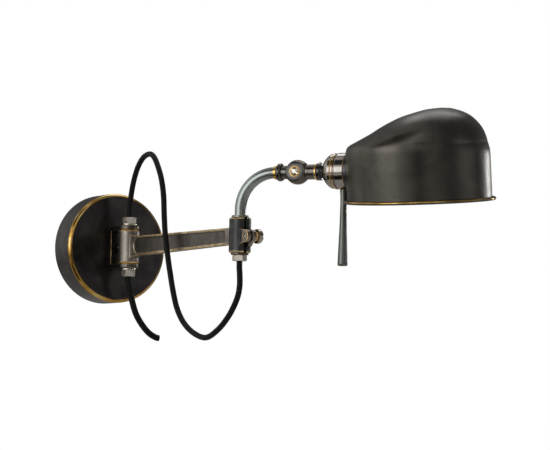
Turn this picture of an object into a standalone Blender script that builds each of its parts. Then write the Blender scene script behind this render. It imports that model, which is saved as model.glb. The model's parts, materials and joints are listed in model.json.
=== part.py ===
"""Picture light: a wall lamp with a swinging cast arm, a bent tube that swivels in a split clamp,
a friction knuckle and a hooded reflector that rolls about its socket.

Metres, +Z up. The origin is the middle of the back of the mounting crossbar, on the wall plane,
and the arm points straight out of the wall along -Y. The lamp stands at its rest pose.
"""

from math import cos, pi, radians, sin, sqrt

import bmesh
import bpy
from mathutils import Vector

MM = 0.001

# ---- clearances -------------------------------------------------------------------------------
GAP = 0.3 * MM            # daylight between pieces that touch
RUNNING_FIT = 0.1 * MM    # radial clearance where one piece turns in another

# ---- wall plate and bracket -------------------------------------------------------------------
PLATE_RADIUS = 63.5 * MM
PLATE_DEPTH = 36.0 * MM
PLATE_WALL = 1.6 * MM
PLATE_EDGE_RADIUS = 5.0 * MM
CROSSBAR_LENGTH = 104.0 * MM
CROSSBAR_WIDTH = 20.0 * MM
CROSSBAR_THICKNESS = 2.5 * MM
CROSSBAR_SLOT_LENGTH = 16.0 * MM
CROSSBAR_SLOT_WIDTH = 4.5 * MM
CROSSBAR_SLOT_OFFSET = 38.0 * MM
CROSSBAR_BOSS_RADIUS = 9.0 * MM
BOLT_RADIUS = 3.0 * MM
BOLT_DEPTH = 16.0 * MM            # how far the bolt reaches behind the plate's face
BOLT_HEAD_RADIUS = 5.0 * MM
BOLT_HEAD_HEIGHT = 3.0 * MM
BOLT_WASHER_THICKNESS = 1.2 * MM
BRACKET_BASE_THICKNESS = 4.5 * MM
BRACKET_HALF_WIDTH = 11.7 * MM
HINGE_REACH = 26.5 * MM           # plate face to hinge axis
LUG_THICKNESS = 4.7 * MM

# ---- hinge ------------------------------------------------------------------------------------
HINGE_BARREL_RADIUS = 12.2 * MM
HINGE_BARREL_HEIGHT = 38.0 * MM
THRUST_WASHER_THICKNESS = 0.5 * MM
PIN_RADIUS = 5.1 * MM
PIN_BORE_RADIUS = 3.9 * MM
BUSH_WALL = 2.0 * MM
HINGE_COLLAR_RADIUS = 9.0 * MM
HINGE_COLLAR_THICKNESS = 2.2 * MM
NUT_CORNER_RADIUS = 8.0 * MM
HINGE_NUT_HEIGHT = 6.9 * MM

# ---- cast arm ---------------------------------------------------------------------------------
ARM_LENGTH = 247.0 * MM           # hinge axis to clamp axis
ARM_THICKNESS = 9.0 * MM
ARM_HALF_HEIGHT_AT_HINGE = 11.6 * MM
ARM_HALF_HEIGHT_AT_CLAMP = 8.9 * MM
ARM_FLARE = 4.0 * MM              # how much higher the web is where it meets a barrel
ARM_FLARE_LENGTH = 20.0 * MM
PANEL_START = 19.0 * MM
PANEL_END_MARGIN = 24.0 * MM       # clamp axis to the panel's square end
PANEL_CORNER_RADIUS = 3.5 * MM
PANEL_BORDER = 2.7 * MM
PANEL_DEPTH = 1.0 * MM

# ---- split clamp ------------------------------------------------------------------------------
CLAMP_RADIUS = 11.8 * MM
CLAMP_HEIGHT = 37.6 * MM
EAR_THICKNESS = 5.0 * MM
EAR_GAP = 2.0 * MM
EAR_REACH = 18.5 * MM             # clamp axis to the screw's axis
EAR_TIP_RADIUS = 6.9 * MM
EAR_SCREW_DROP = 1.5 * MM
FAR_EAR_SHOULDER = 12.0 * MM
CLAMP_SCREW_RADIUS = 2.4 * MM
CLAMP_HEAD_RADIUS = 7.8 * MM
CLAMP_HEAD_HEIGHT = 7.4 * MM
CLAMP_BOSS_RADIUS = 5.2 * MM
CLAMP_BOSS_HEIGHT = 2.6 * MM
SCREW_SLOT_WIDTH = 1.6 * MM
SCREW_SLOT_DEPTH = 3.4 * MM

# ---- bent tube --------------------------------------------------------------------------------
TUBE_RADIUS = 6.1 * MM
TUBE_WALL = 1.1 * MM
TUBE_BEND_RADIUS = 39.0 * MM
TUBE_TURN = 36.0                  # degrees from the arm's direction, towards +X
SOCKET_AXIS_HEIGHT = 66.5 * MM    # above the arm's centre line
TOP_RING_RADIUS = 9.4 * MM
TOP_RING_HEIGHT = 2.4 * MM
CLAMP_WASHER_RADIUS = 9.5 * MM
CLAMP_WASHER_THICKNESS = 2.0 * MM
GLAND_NUT_HEIGHT = 6.2 * MM
NIPPLE_WALL = 1.3 * MM
NIPPLE_TOP = 4.0 * MM
FERRULE_LENGTH = 3.0 * MM
FERRULE_WALL = 0.9 * MM

# ---- friction knuckle -------------------------------------------------------------------------
KNUCKLE_REACH = 65.0 * MM         # clamp axis to the knuckle's centre
KNUCKLE_RADIUS = 13.3 * MM
KNUCKLE_HALF_WIDTH = 7.5 * MM
KNUCKLE_NECK_RADIUS = 7.2 * MM
KNUCKLE_STEM_RADIUS = 8.1 * MM
COLLAR_BEAD_RADIUS = 9.4 * MM
COLLAR_BEAD_LENGTH = 5.8 * MM
GRUB_RADIUS = 2.0 * MM
KNUCKLE_SCREW_RADIUS = 2.4 * MM
KNUCKLE_HEAD_RADIUS = 5.0 * MM
KNUCKLE_HEAD_HEIGHT = 3.0 * MM
KNUCKLE_NUT_RADIUS = 5.6 * MM
KNUCKLE_NUT_HEIGHT = 4.0 * MM

# ---- stations along the socket axis, from the clamp axis ---------------------------------------
STEM_END = 86.0 * MM
STEM_RING_LENGTH = 1.8 * MM
STEM_RING_RADIUS = 9.2 * MM
SWIVEL_COLLAR_LENGTH = 4.2 * MM
SWIVEL_COLLAR_RADIUS = 9.3 * MM
NECK_RADIUS = 5.7 * MM
NECK_WALL = 1.4 * MM
CAP_START = 93.8 * MM
CAP_WALL = 1.3 * MM
CAP_SHOULDER = 103.1 * MM
CAP_STEP = 107.5 * MM
CAP_END = 110.5 * MM
CAP_RADIUS = 19.0 * MM
BAND_START = 112.2 * MM
BAND_END = 122.4 * MM
BAND_RADIUS = 19.4 * MM
BAND_WALL = 1.5 * MM
HOLDER_RADIUS = 20.4 * MM

# ---- reflector --------------------------------------------------------------------------------
SHADE_CENTRE = 200.0 * MM         # clamp axis to the middle of the shade's plan circle
SHADE_RADIUS = 75.6 * MM
SHADE_WALL = 1.2 * MM
SHADE_ROLL = 7.9                  # degrees that the shade is rolled towards the viewer's side
RIM_DROP = 31.7 * MM              # socket axis to the middle of the rolled rim
RIM_LIP_HALF_HEIGHT = 1.9 * MM
RIM_LIP_OVERHANG = 3.9 * MM
CROWN_HEIGHT = 95.4 * MM          # above the middle of the rim
CROWN_PEAK_OFFSET = 25.0 * MM     # the crown's highest point, outward of the middle
# Height above the rim, how far the shell reaches back towards the socket, and how far forward.
SHADE_STATIONS = (
    (0.0, 75.6, 75.6),
    (46.0, 75.6, 74.8),
    (54.0, 74.8, 73.6),
    (58.5, 71.4, 72.2),
    (62.5, 63.4, 71.2),
    (70.0, 48.0, 68.4),
    (76.0, 37.6, 65.0),
    (82.0, 26.0, 60.0),
    (87.0, 14.5, 54.4),
    (91.0, 1.0, 47.0),
    (94.0, -11.0, 38.5),
)
WALL_TOP = 50.0 * MM              # below this the plan stays a full circle

# ---- handle, lampholder and lamp --------------------------------------------------------------
ROD_BOTTOM = 99.9 * MM            # below the socket axis
ROD_STUD_RADIUS = 2.0 * MM
HOLDER_SHELL_RADIUS = 16.6 * MM
HOLDER_SHELL_WALL = 2.2 * MM
HOLDER_SHELL_START = 113.5 * MM
HOLDER_SHELL_END = 141.0 * MM
RING_NUT_RADIUS = 21.0 * MM
RING_NUT_START = 129.4 * MM
RING_NUT_LENGTH = 3.0 * MM
SCREW_SHELL_WALL = 0.5 * MM
LAMP_BASE_RADIUS = 12.9 * MM
LAMP_RADIUS = 15.0 * MM
LAMP_GLASS_WALL = 0.8 * MM
LAMP_BASE_START = 120.0 * MM
LAMP_BASE_END = 143.0 * MM
LAMP_END = 246.0 * MM

# ---- flexible cord ----------------------------------------------------------------------------
CORD_RADIUS = 3.15 * MM
TAIL_RADIUS = 3.6 * MM
CORD_POINT_SPACING = 14.0 * MM
# The loop, from the gland nut under the clamp to the top of the hinge: millimetres in the arm's
# own frame, with the hinge axis at the origin.
LOOP_ROUTE = (
    (0.0, -247.1, -34.5),
    (0.0, -248.2, -43.0),
    (-0.6, -249.4, -53.5),
    (-2.0, -248.7, -64.3),
    (-4.0, -244.2, -75.5),
    (-6.0, -235.6, -87.1),
    (-8.5, -220.5, -99.7),
    (-10.5, -198.7, -108.4),
    (-12.0, -175.3, -103.7),
    (-13.0, -154.6, -92.4),
    (-13.4, -139.9, -77.2),
    (-13.6, -130.6, -59.3),
    (-13.6, -122.2, -36.8),
    (-13.6, -115.2, -15.4),
    (-13.4, -108.4, 8.7),
    (-13.0, -104.5, 29.8),
    (-12.0, -100.3, 51.5),
    (-10.8, -92.8, 70.1),
    (-9.4, -81.8, 85.7),
    (-8.0, -69.6, 97.7),
    (-6.4, -56.3, 102.8),
    (-4.6, -38.4, 100.5),
    (-2.8, -22.6, 90.8),
    (-1.4, -11.2, 76.7),
    (-0.5, -4.1, 61.6),
    (-0.1, -1.0, 49.0),
    (0.0, 0.0, 41.0),
)
# The tail that hangs from the bottom of the hinge: millimetres from the hinge axis.
TAIL_ROUTE = (
    (0.2, 0.0, -38.0),
    (1.8, -0.4, -46.5),
    (5.3, -1.0, -61.8),
    (10.4, -2.0, -77.0),
    (18.1, -3.0, -89.2),
    (26.7, -4.0, -98.3),
    (35.1, -5.0, -103.1),
    (39.0, -5.4, -103.8),
)

# ---- resolution -------------------------------------------------------------------------------
STEPS_SMALL = 18
STEPS_MEDIUM = 24
STEPS_LARGE = 36
STEPS_WALL = 72

# ---- places that follow from the sizes above ----------------------------------------------------
HINGE_Y = -(PLATE_DEPTH + HINGE_REACH)
CLAMP_Y = HINGE_Y - ARM_LENGTH
LUG_INNER = HINGE_BARREL_HEIGHT / 2 + THRUST_WASHER_THICKNESS + 2 * RUNNING_FIT
LUG_OUTER = LUG_INNER + LUG_THICKNESS
HINGE_COLLAR_END = LUG_OUTER + GAP + HINGE_COLLAR_THICKNESS
HINGE_NUT_END = HINGE_COLLAR_END + GAP + HINGE_NUT_HEIGHT
CLAMP_TOP = CLAMP_HEIGHT / 2
TUBE_FOOT = -CLAMP_TOP + GAP
CLAMP_WASHER_END = -CLAMP_TOP - RUNNING_FIT - CLAMP_WASHER_THICKNESS
GLAND_NUT_END = CLAMP_WASHER_END - GAP - GLAND_NUT_HEIGHT
TUBE_BORE = TUBE_RADIUS - TUBE_WALL
NIPPLE_RADIUS = TUBE_BORE - GAP
TUBE_END = TUBE_BEND_RADIUS + FERRULE_LENGTH
EAR_OUTER = EAR_GAP / 2 + EAR_THICKNESS
KNUCKLE_LEFT = KNUCKLE_REACH - KNUCKLE_RADIUS
NECK_START = KNUCKLE_REACH + KNUCKLE_RADIUS
SWIVEL_COLLAR_START = STEM_END + STEM_RING_LENGTH + 2 * GAP
SWIVEL_COLLAR_END = SWIVEL_COLLAR_START + SWIVEL_COLLAR_LENGTH
SHADE_BACK = SHADE_CENTRE - SHADE_RADIUS
ROD_STATION = (BAND_START + BAND_END) / 2


# ---- scene and helpers ------------------------------------------------------------------------
def clear_scene():
    for obj in list(bpy.data.objects):
        bpy.data.objects.remove(obj)


def collection(name):
    group = bpy.data.collections.new(name)
    bpy.context.scene.collection.children.link(group)
    return group


def finish(name, colour, roughness, metallic):
    """A Principled material from an sRGB hex colour."""
    channels = [int(colour[i:i + 2], 16) / 255 for i in (0, 2, 4)]
    linear = [c / 12.92 if c < 0.04045 else ((c + 0.055) / 1.055) ** 2.4 for c in channels]
    material = bpy.data.materials.new(name)
    material.use_nodes = True
    shader = material.node_tree.nodes["Principled BSDF"]
    shader.inputs["Base Color"].default_value = (*linear, 1)
    shader.inputs["Roughness"].default_value = roughness
    shader.inputs["Metallic"].default_value = metallic
    material.diffuse_color = (*linear, 1)
    return material


def empty(name, parent, place, turn=(0, 0, 0)):
    """An axis: what moves together hangs from one of these."""
    obj = bpy.data.objects.new(name, None)
    obj.location = place
    obj.rotation_euler = [radians(angle) for angle in turn]
    obj.parent = parent
    obj.empty_display_size = 0.02
    PARTS.objects.link(obj)
    return obj


def add(name, data, material, parent, place=(0, 0, 0), turn=(0, 0, 0)):
    """Links an object made of `data`; without a material it is a cutter."""
    obj = bpy.data.objects.new(name, data)
    obj.location = place
    obj.rotation_euler = [radians(angle) for angle in turn]
    obj.parent = parent
    if material is None:
        CUTTERS.objects.link(obj)
        obj.hide_render = True
        obj.display_type = "WIRE"
    else:
        PARTS.objects.link(obj)
        obj.data.materials.append(material)
    return obj


def turned(name, profile, material, parent, place=(0, 0, 0), turn=(0, 0, 0), steps=STEPS_MEDIUM,
           ring=False):
    """A turned piece: `profile` holds (radius, height) down its outer side; a ring's is closed."""
    count = len(profile)
    edges = [(i, i + 1) for i in range(count - 1)]
    if ring:
        edges.append((count - 1, 0))
    mesh = bpy.data.meshes.new(name)
    mesh.from_pydata([(radius, 0, height) for radius, height in profile], edges, [])
    obj = add(name, mesh, material, parent, place, turn)
    screw = obj.modifiers.new("turn", "SCREW")
    screw.steps = steps
    screw.render_steps = steps
    screw.use_merge_vertices = True
    screw.merge_threshold = 0.00002
    screw.use_smooth_shade = False
    return obj


def tube_section(inner, outer, bottom, top, chamfer=0.0):
    """The closed profile of a plain ring, its outer side first, top to bottom."""
    if chamfer:
        outside = [(outer - chamfer, top), (outer, top - chamfer),
                   (outer, bottom + chamfer), (outer - chamfer, bottom)]
    else:
        outside = [(outer, top), (outer, bottom)]
    return outside + [(inner, bottom), (inner, top)]


def solid_section(radius, bottom, top, chamfer=0.0):
    """The open profile of a plain round bar."""
    return [(0, top), (radius - chamfer, top), (radius, top - chamfer),
            (radius, bottom + chamfer), (radius - chamfer, bottom), (0, bottom)]


def shell_section(outer, wall):
    """A closed profile: the given outer line, and the same line a wall thinner on the way back."""
    inner = []
    for i, point in enumerate(outer):
        before = Vector(outer[max(i - 1, 0)])
        after = Vector(outer[min(i + 1, len(outer) - 1)])
        along = (after - before).normalized()
        inner.append((point[0] + along[1] * wall, point[1] - along[0] * wall))
    return list(outer) + inner[::-1]


def arc(centre, radius, start, end, count):
    """Points along an arc in a plane, from one angle in degrees to another."""
    angles = [radians(start + (end - start) * i / count) for i in range(count + 1)]
    return [(centre[0] + radius * cos(a), centre[1] + radius * sin(a)) for a in angles]


def fillet(start, corner, end, count=6):
    """Points along the curve that rounds off a corner."""
    points = []
    for i in range(count + 1):
        t = i / count
        weights = ((1 - t) ** 2, 2 * t * (1 - t), t * t)
        points.append(tuple(weights[0] * a + weights[1] * b + weights[2] * c
                            for a, b, c in zip(start, corner, end)))
    return points


def flat(name, outlines, thickness, material, parent, place=(0, 0, 0), turn=(0, 0, 0)):
    """A flat piece of even thickness, made a mesh so that it can be cut or joined."""
    curve = bpy.data.curves.new(name, "CURVE")
    curve.dimensions = "2D"
    curve.fill_mode = "BOTH"
    curve.extrude = thickness / 2
    for outline in outlines:
        spline = curve.splines.new("POLY")
        spline.points.add(len(outline) - 1)
        for point, (x, y) in zip(spline.points, outline):
            point.co = (x, y, 0, 1)
        spline.use_cyclic_u = True
    return add(name, welded_mesh(name, curve), material, parent, place, turn)


def welded_mesh(name, curve):
    """The mesh of a curve, with its loose caps welded on."""
    guide = bpy.data.objects.new("guide", curve)
    bpy.context.scene.collection.objects.link(guide)
    graph = bpy.context.evaluated_depsgraph_get()
    mesh = bpy.data.meshes.new_from_object(guide.evaluated_get(graph))
    bpy.data.objects.remove(guide)
    mesh.name = name
    mesh.materials.clear()
    work = bmesh.new()
    work.from_mesh(mesh)
    bmesh.ops.remove_doubles(work, verts=work.verts, dist=0.000001)
    bmesh.ops.recalc_face_normals(work, faces=work.faces)
    work.to_mesh(mesh)
    work.free()
    return mesh


def box(name, size, material, parent, place=(0, 0, 0), turn=(0, 0, 0)):
    mesh = bpy.data.meshes.new(name)
    work = bmesh.new()
    bmesh.ops.create_cube(work, size=1)
    bmesh.ops.scale(work, vec=size, verts=work.verts)
    work.to_mesh(mesh)
    work.free()
    return add(name, mesh, material, parent, place, turn)


def ball(name, radius, material, parent, place=(0, 0, 0), turn=(0, 0, 0)):
    """A sphere whose poles lie on its own Z axis."""
    mesh = bpy.data.meshes.new(name)
    work = bmesh.new()
    bmesh.ops.create_uvsphere(work, u_segments=24, v_segments=14, radius=radius)
    work.to_mesh(mesh)
    work.free()
    return add(name, mesh, material, parent, place, turn)


def combine(obj, other, operation):
    modifier = obj.modifiers.new(operation.lower(), "BOOLEAN")
    modifier.operation = operation
    modifier.object = other
    modifier.solver = "EXACT"


def cut(obj, *cutters):
    for cutter in cutters:
        combine(obj, cutter, "DIFFERENCE")


def join(obj, *others):
    for other in others:
        combine(obj, other, "UNION")


def circle(radius, steps):
    return [(radius * cos(2 * pi * i / steps), radius * sin(2 * pi * i / steps))
            for i in range(steps)]


def hex_nut(name, bore, height, material, parent, place, turn=(0, 0, 0), corner=NUT_CORNER_RADIUS):
    outlines = [circle(corner, 6), circle(bore, STEPS_SMALL)]
    return flat(name, outlines, height, material, parent, place, turn)


def smooth_route(route, spacing):
    """Evenly spaced points on a smooth curve through the route's own points."""
    points = [Vector(point) * MM for point in route]
    ends = [2 * points[0] - points[1]] + points + [2 * points[-1] - points[-2]]
    fine = []
    for a, b, c, d in zip(ends, ends[1:], ends[2:], ends[3:]):
        for i in range(12):
            t = i / 12
            fine.append(0.5 * (2 * b + (c - a) * t + (2 * a - 5 * b + 4 * c - d) * t * t
                               + (3 * b - a - 3 * c + d) * t ** 3))
    fine.append(points[-1])
    lengths = [0.0]
    for before, after in zip(fine, fine[1:]):
        lengths.append(lengths[-1] + (after - before).length)
    count = max(4, round(lengths[-1] / spacing))
    even = []
    at = 0
    for i in range(count + 1):
        wanted = lengths[-1] * i / count
        while at < len(fine) - 2 and lengths[at + 1] < wanted:
            at += 1
        share = (wanted - lengths[at]) / (lengths[at + 1] - lengths[at])
        even.append(fine[at].lerp(fine[at + 1], share))
    return even


def cord(name, points, radius, parent, place=(0, 0, 0), turn=(0, 0, 0)):
    """A round cord along a polyline, with filled ends."""
    curve = bpy.data.curves.new(name, "CURVE")
    curve.dimensions = "3D"
    curve.bevel_depth = radius
    curve.bevel_resolution = 3
    curve.use_fill_caps = True
    spline = curve.splines.new("POLY")
    spline.points.add(len(points) - 1)
    for target, point in zip(spline.points, points):
        target.co = (*point, 1)
    return add(name, curve, BLACK_BRAID, parent, place, turn)


# ---- wall side --------------------------------------------------------------------------------
def make_crossbar():
    """A flat strap with a tapped boss in the middle and a slot near each end."""
    bar = box("mounting_crossbar", (CROSSBAR_LENGTH, CROSSBAR_THICKNESS, CROSSBAR_WIDTH), ZINC, None,
              (0, -CROSSBAR_THICKNESS / 2, 0))
    boss_end = PLATE_DEPTH - PLATE_WALL - GAP
    boss = turned("crossbar_boss", solid_section(CROSSBAR_BOSS_RADIUS, CROSSBAR_THICKNESS / 2,
                                                 boss_end),
                  None, None, turn=(90, 0, 0))
    join(bar, boss)
    for side in (-1, 1):
        slot = box(f"crossbar_slot_{side}", (CROSSBAR_SLOT_LENGTH, 4 * CROSSBAR_THICKNESS,
                                             CROSSBAR_SLOT_WIDTH),
                   None, None, (side * CROSSBAR_SLOT_OFFSET, 0, 0))
        cut(bar, slot)
    tapped_start = PLATE_DEPTH - BOLT_DEPTH - GAP
    hole = turned("boss_tapping", solid_section(BOLT_RADIUS + GAP, tapped_start,
                                                boss_end + CROSSBAR_THICKNESS),
                  None, None, turn=(90, 0, 0), steps=STEPS_SMALL)
    cut(bar, hole)


def make_backplate():
    """A spun cup, open at the back, with a rounded front edge."""
    edge = PLATE_EDGE_RADIUS
    corner = (PLATE_RADIUS - edge, PLATE_DEPTH - edge)
    hole = BOLT_RADIUS + GAP
    outer = [(hole, PLATE_DEPTH)] + arc(corner, edge, 90, 0, 5) + [(PLATE_RADIUS, 0)]
    inner_edge = edge - PLATE_WALL
    inner = [(PLATE_RADIUS - PLATE_WALL, 0)] + arc(corner, inner_edge, 0, 90, 3)
    inner.append((hole, PLATE_DEPTH - PLATE_WALL))
    turned("backplate_canopy", outer + inner, BRONZE, None, turn=(90, 0, 0), steps=STEPS_LARGE,
           ring=True)


def make_bracket():
    """A forged clevis: a base against the plate and two lugs that hold the hinge pin."""
    back = PLATE_DEPTH + GAP
    reach = PLATE_DEPTH + HINGE_REACH
    side = [(-BRACKET_HALF_WIDTH, back), (BRACKET_HALF_WIDTH, back)]
    outline = side + arc((0, reach), BRACKET_HALF_WIDTH, 0, 180, 14)
    body = flat("hinge_bracket", [[(x, -y) for x, y in outline]], 2 * LUG_OUTER, BRONZE_WORN, None)
    slot_depth = 2 * HINGE_REACH
    slot = box("clevis_slot", (4 * BRACKET_HALF_WIDTH, slot_depth, 2 * LUG_INNER), None, None,
               (0, -(back + BRACKET_BASE_THICKNESS + slot_depth / 2), 0))
    cut(body, slot)
    bore = turned("lug_bore", solid_section(PIN_RADIUS + GAP, -2 * LUG_OUTER, 2 * LUG_OUTER), None,
                  None, (0, HINGE_Y, 0))
    cut(body, bore)
    bolt_hole = turned("base_bore", solid_section(BOLT_RADIUS + GAP, 0, reach), None, None,
                       turn=(90, 0, 0), steps=STEPS_SMALL)
    cut(body, bolt_hole)


def make_bracket_bolt():
    """The bolt that clamps the plate and the clevis to the crossbar's boss, with its washer."""
    seat = PLATE_DEPTH + GAP + BRACKET_BASE_THICKNESS + GAP
    head = seat + BOLT_WASHER_THICKNESS + GAP
    top = head + BOLT_HEAD_HEIGHT
    dome = fillet((0, top), (BOLT_HEAD_RADIUS, top), (BOLT_HEAD_RADIUS, head), 5)
    profile = dome + [(BOLT_RADIUS, head), (BOLT_RADIUS, PLATE_DEPTH - BOLT_DEPTH),
                      (0, PLATE_DEPTH - BOLT_DEPTH)]
    turned("bracket_bolt", profile, STEEL, None, turn=(90, 0, 0), steps=STEPS_SMALL)
    washer = tube_section(BOLT_RADIUS + GAP, BOLT_HEAD_RADIUS + MM, seat,
                          seat + BOLT_WASHER_THICKNESS)
    turned("bracket_bolt_washer", washer, STEEL, None, turn=(90, 0, 0), steps=STEPS_SMALL, ring=True)


def make_hinge_hardware():
    """The hollow pin that the cord passes through, and what holds it in the clevis."""
    hinge = (0, HINGE_Y, 0)
    pin = tube_section(PIN_BORE_RADIUS, PIN_RADIUS, -HINGE_NUT_END + GAP, HINGE_NUT_END - GAP)
    turned("hinge_pin", pin, STEEL, None, hinge, ring=True)
    collar = tube_section(PIN_RADIUS + GAP, HINGE_COLLAR_RADIUS, 0, HINGE_COLLAR_THICKNESS,
                          0.4 * MM)
    for name, side in (("upper", 1), ("lower", -1)):
        foot = LUG_OUTER + GAP if side > 0 else -HINGE_COLLAR_END
        turned(f"hinge_collar_{name}", collar, BRASS_DARK, None, (0, HINGE_Y, foot), ring=True)
        middle = side * (HINGE_NUT_END - HINGE_NUT_HEIGHT / 2)
        hex_nut(f"hinge_nut_{name}", PIN_RADIUS + GAP, HINGE_NUT_HEIGHT, NICKEL, None,
                (0, HINGE_Y, middle), (0, 0, 10))


# ---- swinging arm -----------------------------------------------------------------------------
def arm_half_height(along):
    share = along / ARM_LENGTH
    return ARM_HALF_HEIGHT_AT_HINGE + (ARM_HALF_HEIGHT_AT_CLAMP - ARM_HALF_HEIGHT_AT_HINGE) * share


def arm_outline():
    """The web's upper edge from the hinge to the clamp, flared at both barrels, then mirrored."""
    start = HINGE_BARREL_RADIUS / 2
    end = ARM_LENGTH - CLAMP_RADIUS / 2
    first = start + ARM_FLARE_LENGTH + HINGE_BARREL_RADIUS / 2
    last = end - ARM_FLARE_LENGTH / 2 - CLAMP_RADIUS / 2
    top = fillet((start, arm_half_height(start) + ARM_FLARE), (first / 2, arm_half_height(first)),
                 (first, arm_half_height(first)), 5)
    top += fillet((last, arm_half_height(last)), ((last + end) / 2, arm_half_height(last)),
                  (end, arm_half_height(end) + ARM_FLARE / 2), 5)
    return top + [(x, -z) for x, z in reversed(top)]


def panel_outline():
    """The recess in the web's side: round at the hinge end and square at the clamp end."""
    start = PANEL_START
    end = ARM_LENGTH - PANEL_END_MARGIN
    start_half = arm_half_height(start) - PANEL_BORDER
    end_half = arm_half_height(end) - PANEL_BORDER
    corner = PANEL_CORNER_RADIUS
    outline = arc((start + start_half, 0), start_half, 90, 270, 10)
    outline += arc((end - corner, corner - end_half), corner, -90, 0, 4)
    outline += arc((end - corner, end_half - corner), corner, 0, 90, 4)
    return outline


def ear_outline(shoulder):
    """One clamp ear, seen from the side: it sweeps in from the barrel to a round tip."""
    tip = (EAR_REACH, -EAR_SCREW_DROP)
    top = CLAMP_TOP - MM
    upper = fillet((2 * MM, top), (CLAMP_RADIUS / 2, tip[1] + EAR_TIP_RADIUS),
                   (EAR_REACH, tip[1] + EAR_TIP_RADIUS), 6)
    round_tip = arc(tip, EAR_TIP_RADIUS, 75, -75, 8)
    if shoulder:
        lower = [(EAR_REACH, tip[1] - EAR_TIP_RADIUS), (EAR_REACH - 3 * MM, -FAR_EAR_SHOULDER),
                 (CLAMP_RADIUS - 2 * MM, -FAR_EAR_SHOULDER - MM), (2 * MM, -FAR_EAR_SHOULDER - MM)]
    else:
        lower = fillet((EAR_REACH, tip[1] - EAR_TIP_RADIUS),
                       (CLAMP_RADIUS / 1.4, tip[1] - EAR_TIP_RADIUS),
                       (CLAMP_RADIUS / 2, -top), 6) + [(2 * MM, -top)]
    return upper + round_tip + lower


def make_arm_casting():
    """One casting: hinge barrel, tapered web with a recessed panel, and split clamp with ears."""
    half = HINGE_BARREL_HEIGHT / 2
    casting = turned("arm_casting", solid_section(HINGE_BARREL_RADIUS, -half, half, 0.8 * MM),
                     BRONZE_WORN, SWING, steps=STEPS_LARGE)
    clamp = turned("clamp_barrel", solid_section(CLAMP_RADIUS, -CLAMP_TOP, CLAMP_TOP, 1.0 * MM),
                   None, SWING, (0, -ARM_LENGTH, 0), steps=STEPS_LARGE)
    # An outline's x runs along the arm and its y runs up.
    side_view = (90, 0, -90)
    web = flat("arm_web", [arm_outline()], ARM_THICKNESS, None, SWING, turn=side_view)
    for name, side in (("near", -1), ("far", 1)):
        panel = flat(f"arm_panel_{name}", [panel_outline()], 2 * PANEL_DEPTH, None, SWING,
                     (side * ARM_THICKNESS / 2, 0, 0), side_view)
        cut(web, panel)
    join(casting, clamp, web)
    for name, side in (("near", -1), ("far", 1)):
        # Each ear starts inside the gap, which the split below then clears.
        root = EAR_GAP / 4
        middle = side * (root + EAR_OUTER) / 2
        hole = [(EAR_REACH + x, z - EAR_SCREW_DROP)
                for x, z in circle(CLAMP_SCREW_RADIUS + RUNNING_FIT, STEPS_SMALL)]
        ear = flat(f"clamp_ear_{name}", [ear_outline(side > 0), hole], EAR_OUTER - root, None,
                   SWING, (middle, -ARM_LENGTH, 0), side_view)
        join(casting, ear)
    hinge_bore = turned("hinge_bore", solid_section(PIN_RADIUS + BUSH_WALL + RUNNING_FIT + GAP,
                                                    -2 * half, 2 * half),
                        None, SWING)
    clamp_bore = turned("clamp_bore", solid_section(TUBE_RADIUS + RUNNING_FIT, -2 * half, 2 * half),
                        None, SWING, (0, -ARM_LENGTH, 0), steps=STEPS_LARGE)
    slot_length = EAR_REACH + EAR_TIP_RADIUS + MM
    split = box("clamp_split", (EAR_GAP, slot_length, 3 * half), None, SWING,
                (0, -ARM_LENGTH - slot_length / 2, 0))
    cut(casting, split, hinge_bore, clamp_bore)


def make_hinge_bearing():
    """The bronze bush pressed in the arm, and the thrust washers above and below it."""
    half = HINGE_BARREL_HEIGHT / 2
    inner = PIN_RADIUS + RUNNING_FIT
    turned("hinge_bush", tube_section(inner, inner + BUSH_WALL, -half, half), BRONZE_BEARING, SWING,
           ring=True)
    washer = tube_section(inner, HINGE_BARREL_RADIUS - MM, 0, THRUST_WASHER_THICKNESS)
    for name, foot in (("upper", half + RUNNING_FIT),
                       ("lower", -half - RUNNING_FIT - THRUST_WASHER_THICKNESS)):
        turned(f"thrust_washer_{name}", washer, BRONZE_BEARING, SWING, (0, 0, foot), ring=True)


def make_clamp_screw():
    """The slotted screw that draws the ears together, and the boss washer under its head."""
    boss_start = EAR_OUTER + GAP
    head_start = boss_start + CLAMP_BOSS_HEIGHT + RUNNING_FIT
    head_end = head_start + CLAMP_HEAD_HEIGHT
    edge = head_start + 0.35 * CLAMP_HEAD_HEIGHT
    dome = fillet((0, head_end), (CLAMP_HEAD_RADIUS, head_end), (CLAMP_HEAD_RADIUS, edge), 6)
    shank = -EAR_OUTER + MM
    profile = dome + [(CLAMP_HEAD_RADIUS, head_start), (CLAMP_SCREW_RADIUS, head_start),
                      (CLAMP_SCREW_RADIUS, shank), (0, shank)]
    screw = turned("clamp_screw", profile, BRASS_DARK, CLAMP_TURN, turn=(0, 90, 0))
    slot = box("clamp_screw_slot", (2 * SCREW_SLOT_DEPTH, 4 * CLAMP_HEAD_RADIUS, SCREW_SLOT_WIDTH),
               None, CLAMP_TURN, (head_end, 0, 0))
    cut(screw, slot)
    washer = tube_section(CLAMP_SCREW_RADIUS + RUNNING_FIT, CLAMP_BOSS_RADIUS, boss_start,
                          boss_start + CLAMP_BOSS_HEIGHT)
    turned("clamp_screw_washer", washer, BRASS_DARK, SWING,
           (0, -ARM_LENGTH - EAR_REACH, -EAR_SCREW_DROP), (0, 90, 0), STEPS_SMALL, ring=True)


# ---- swivelling tube --------------------------------------------------------------------------
def gooseneck_line(foot):
    """Points up the clamp axis, round the bend and a little way along the socket axis."""
    start = SOCKET_AXIS_HEIGHT - TUBE_BEND_RADIUS
    bend = arc((TUBE_BEND_RADIUS, start), TUBE_BEND_RADIUS, 180, 90, 12)
    line = [(0, foot)] + bend + [(TUBE_END, SOCKET_AXIS_HEIGHT)]
    return [(x, 0, z) for x, z in line]


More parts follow.
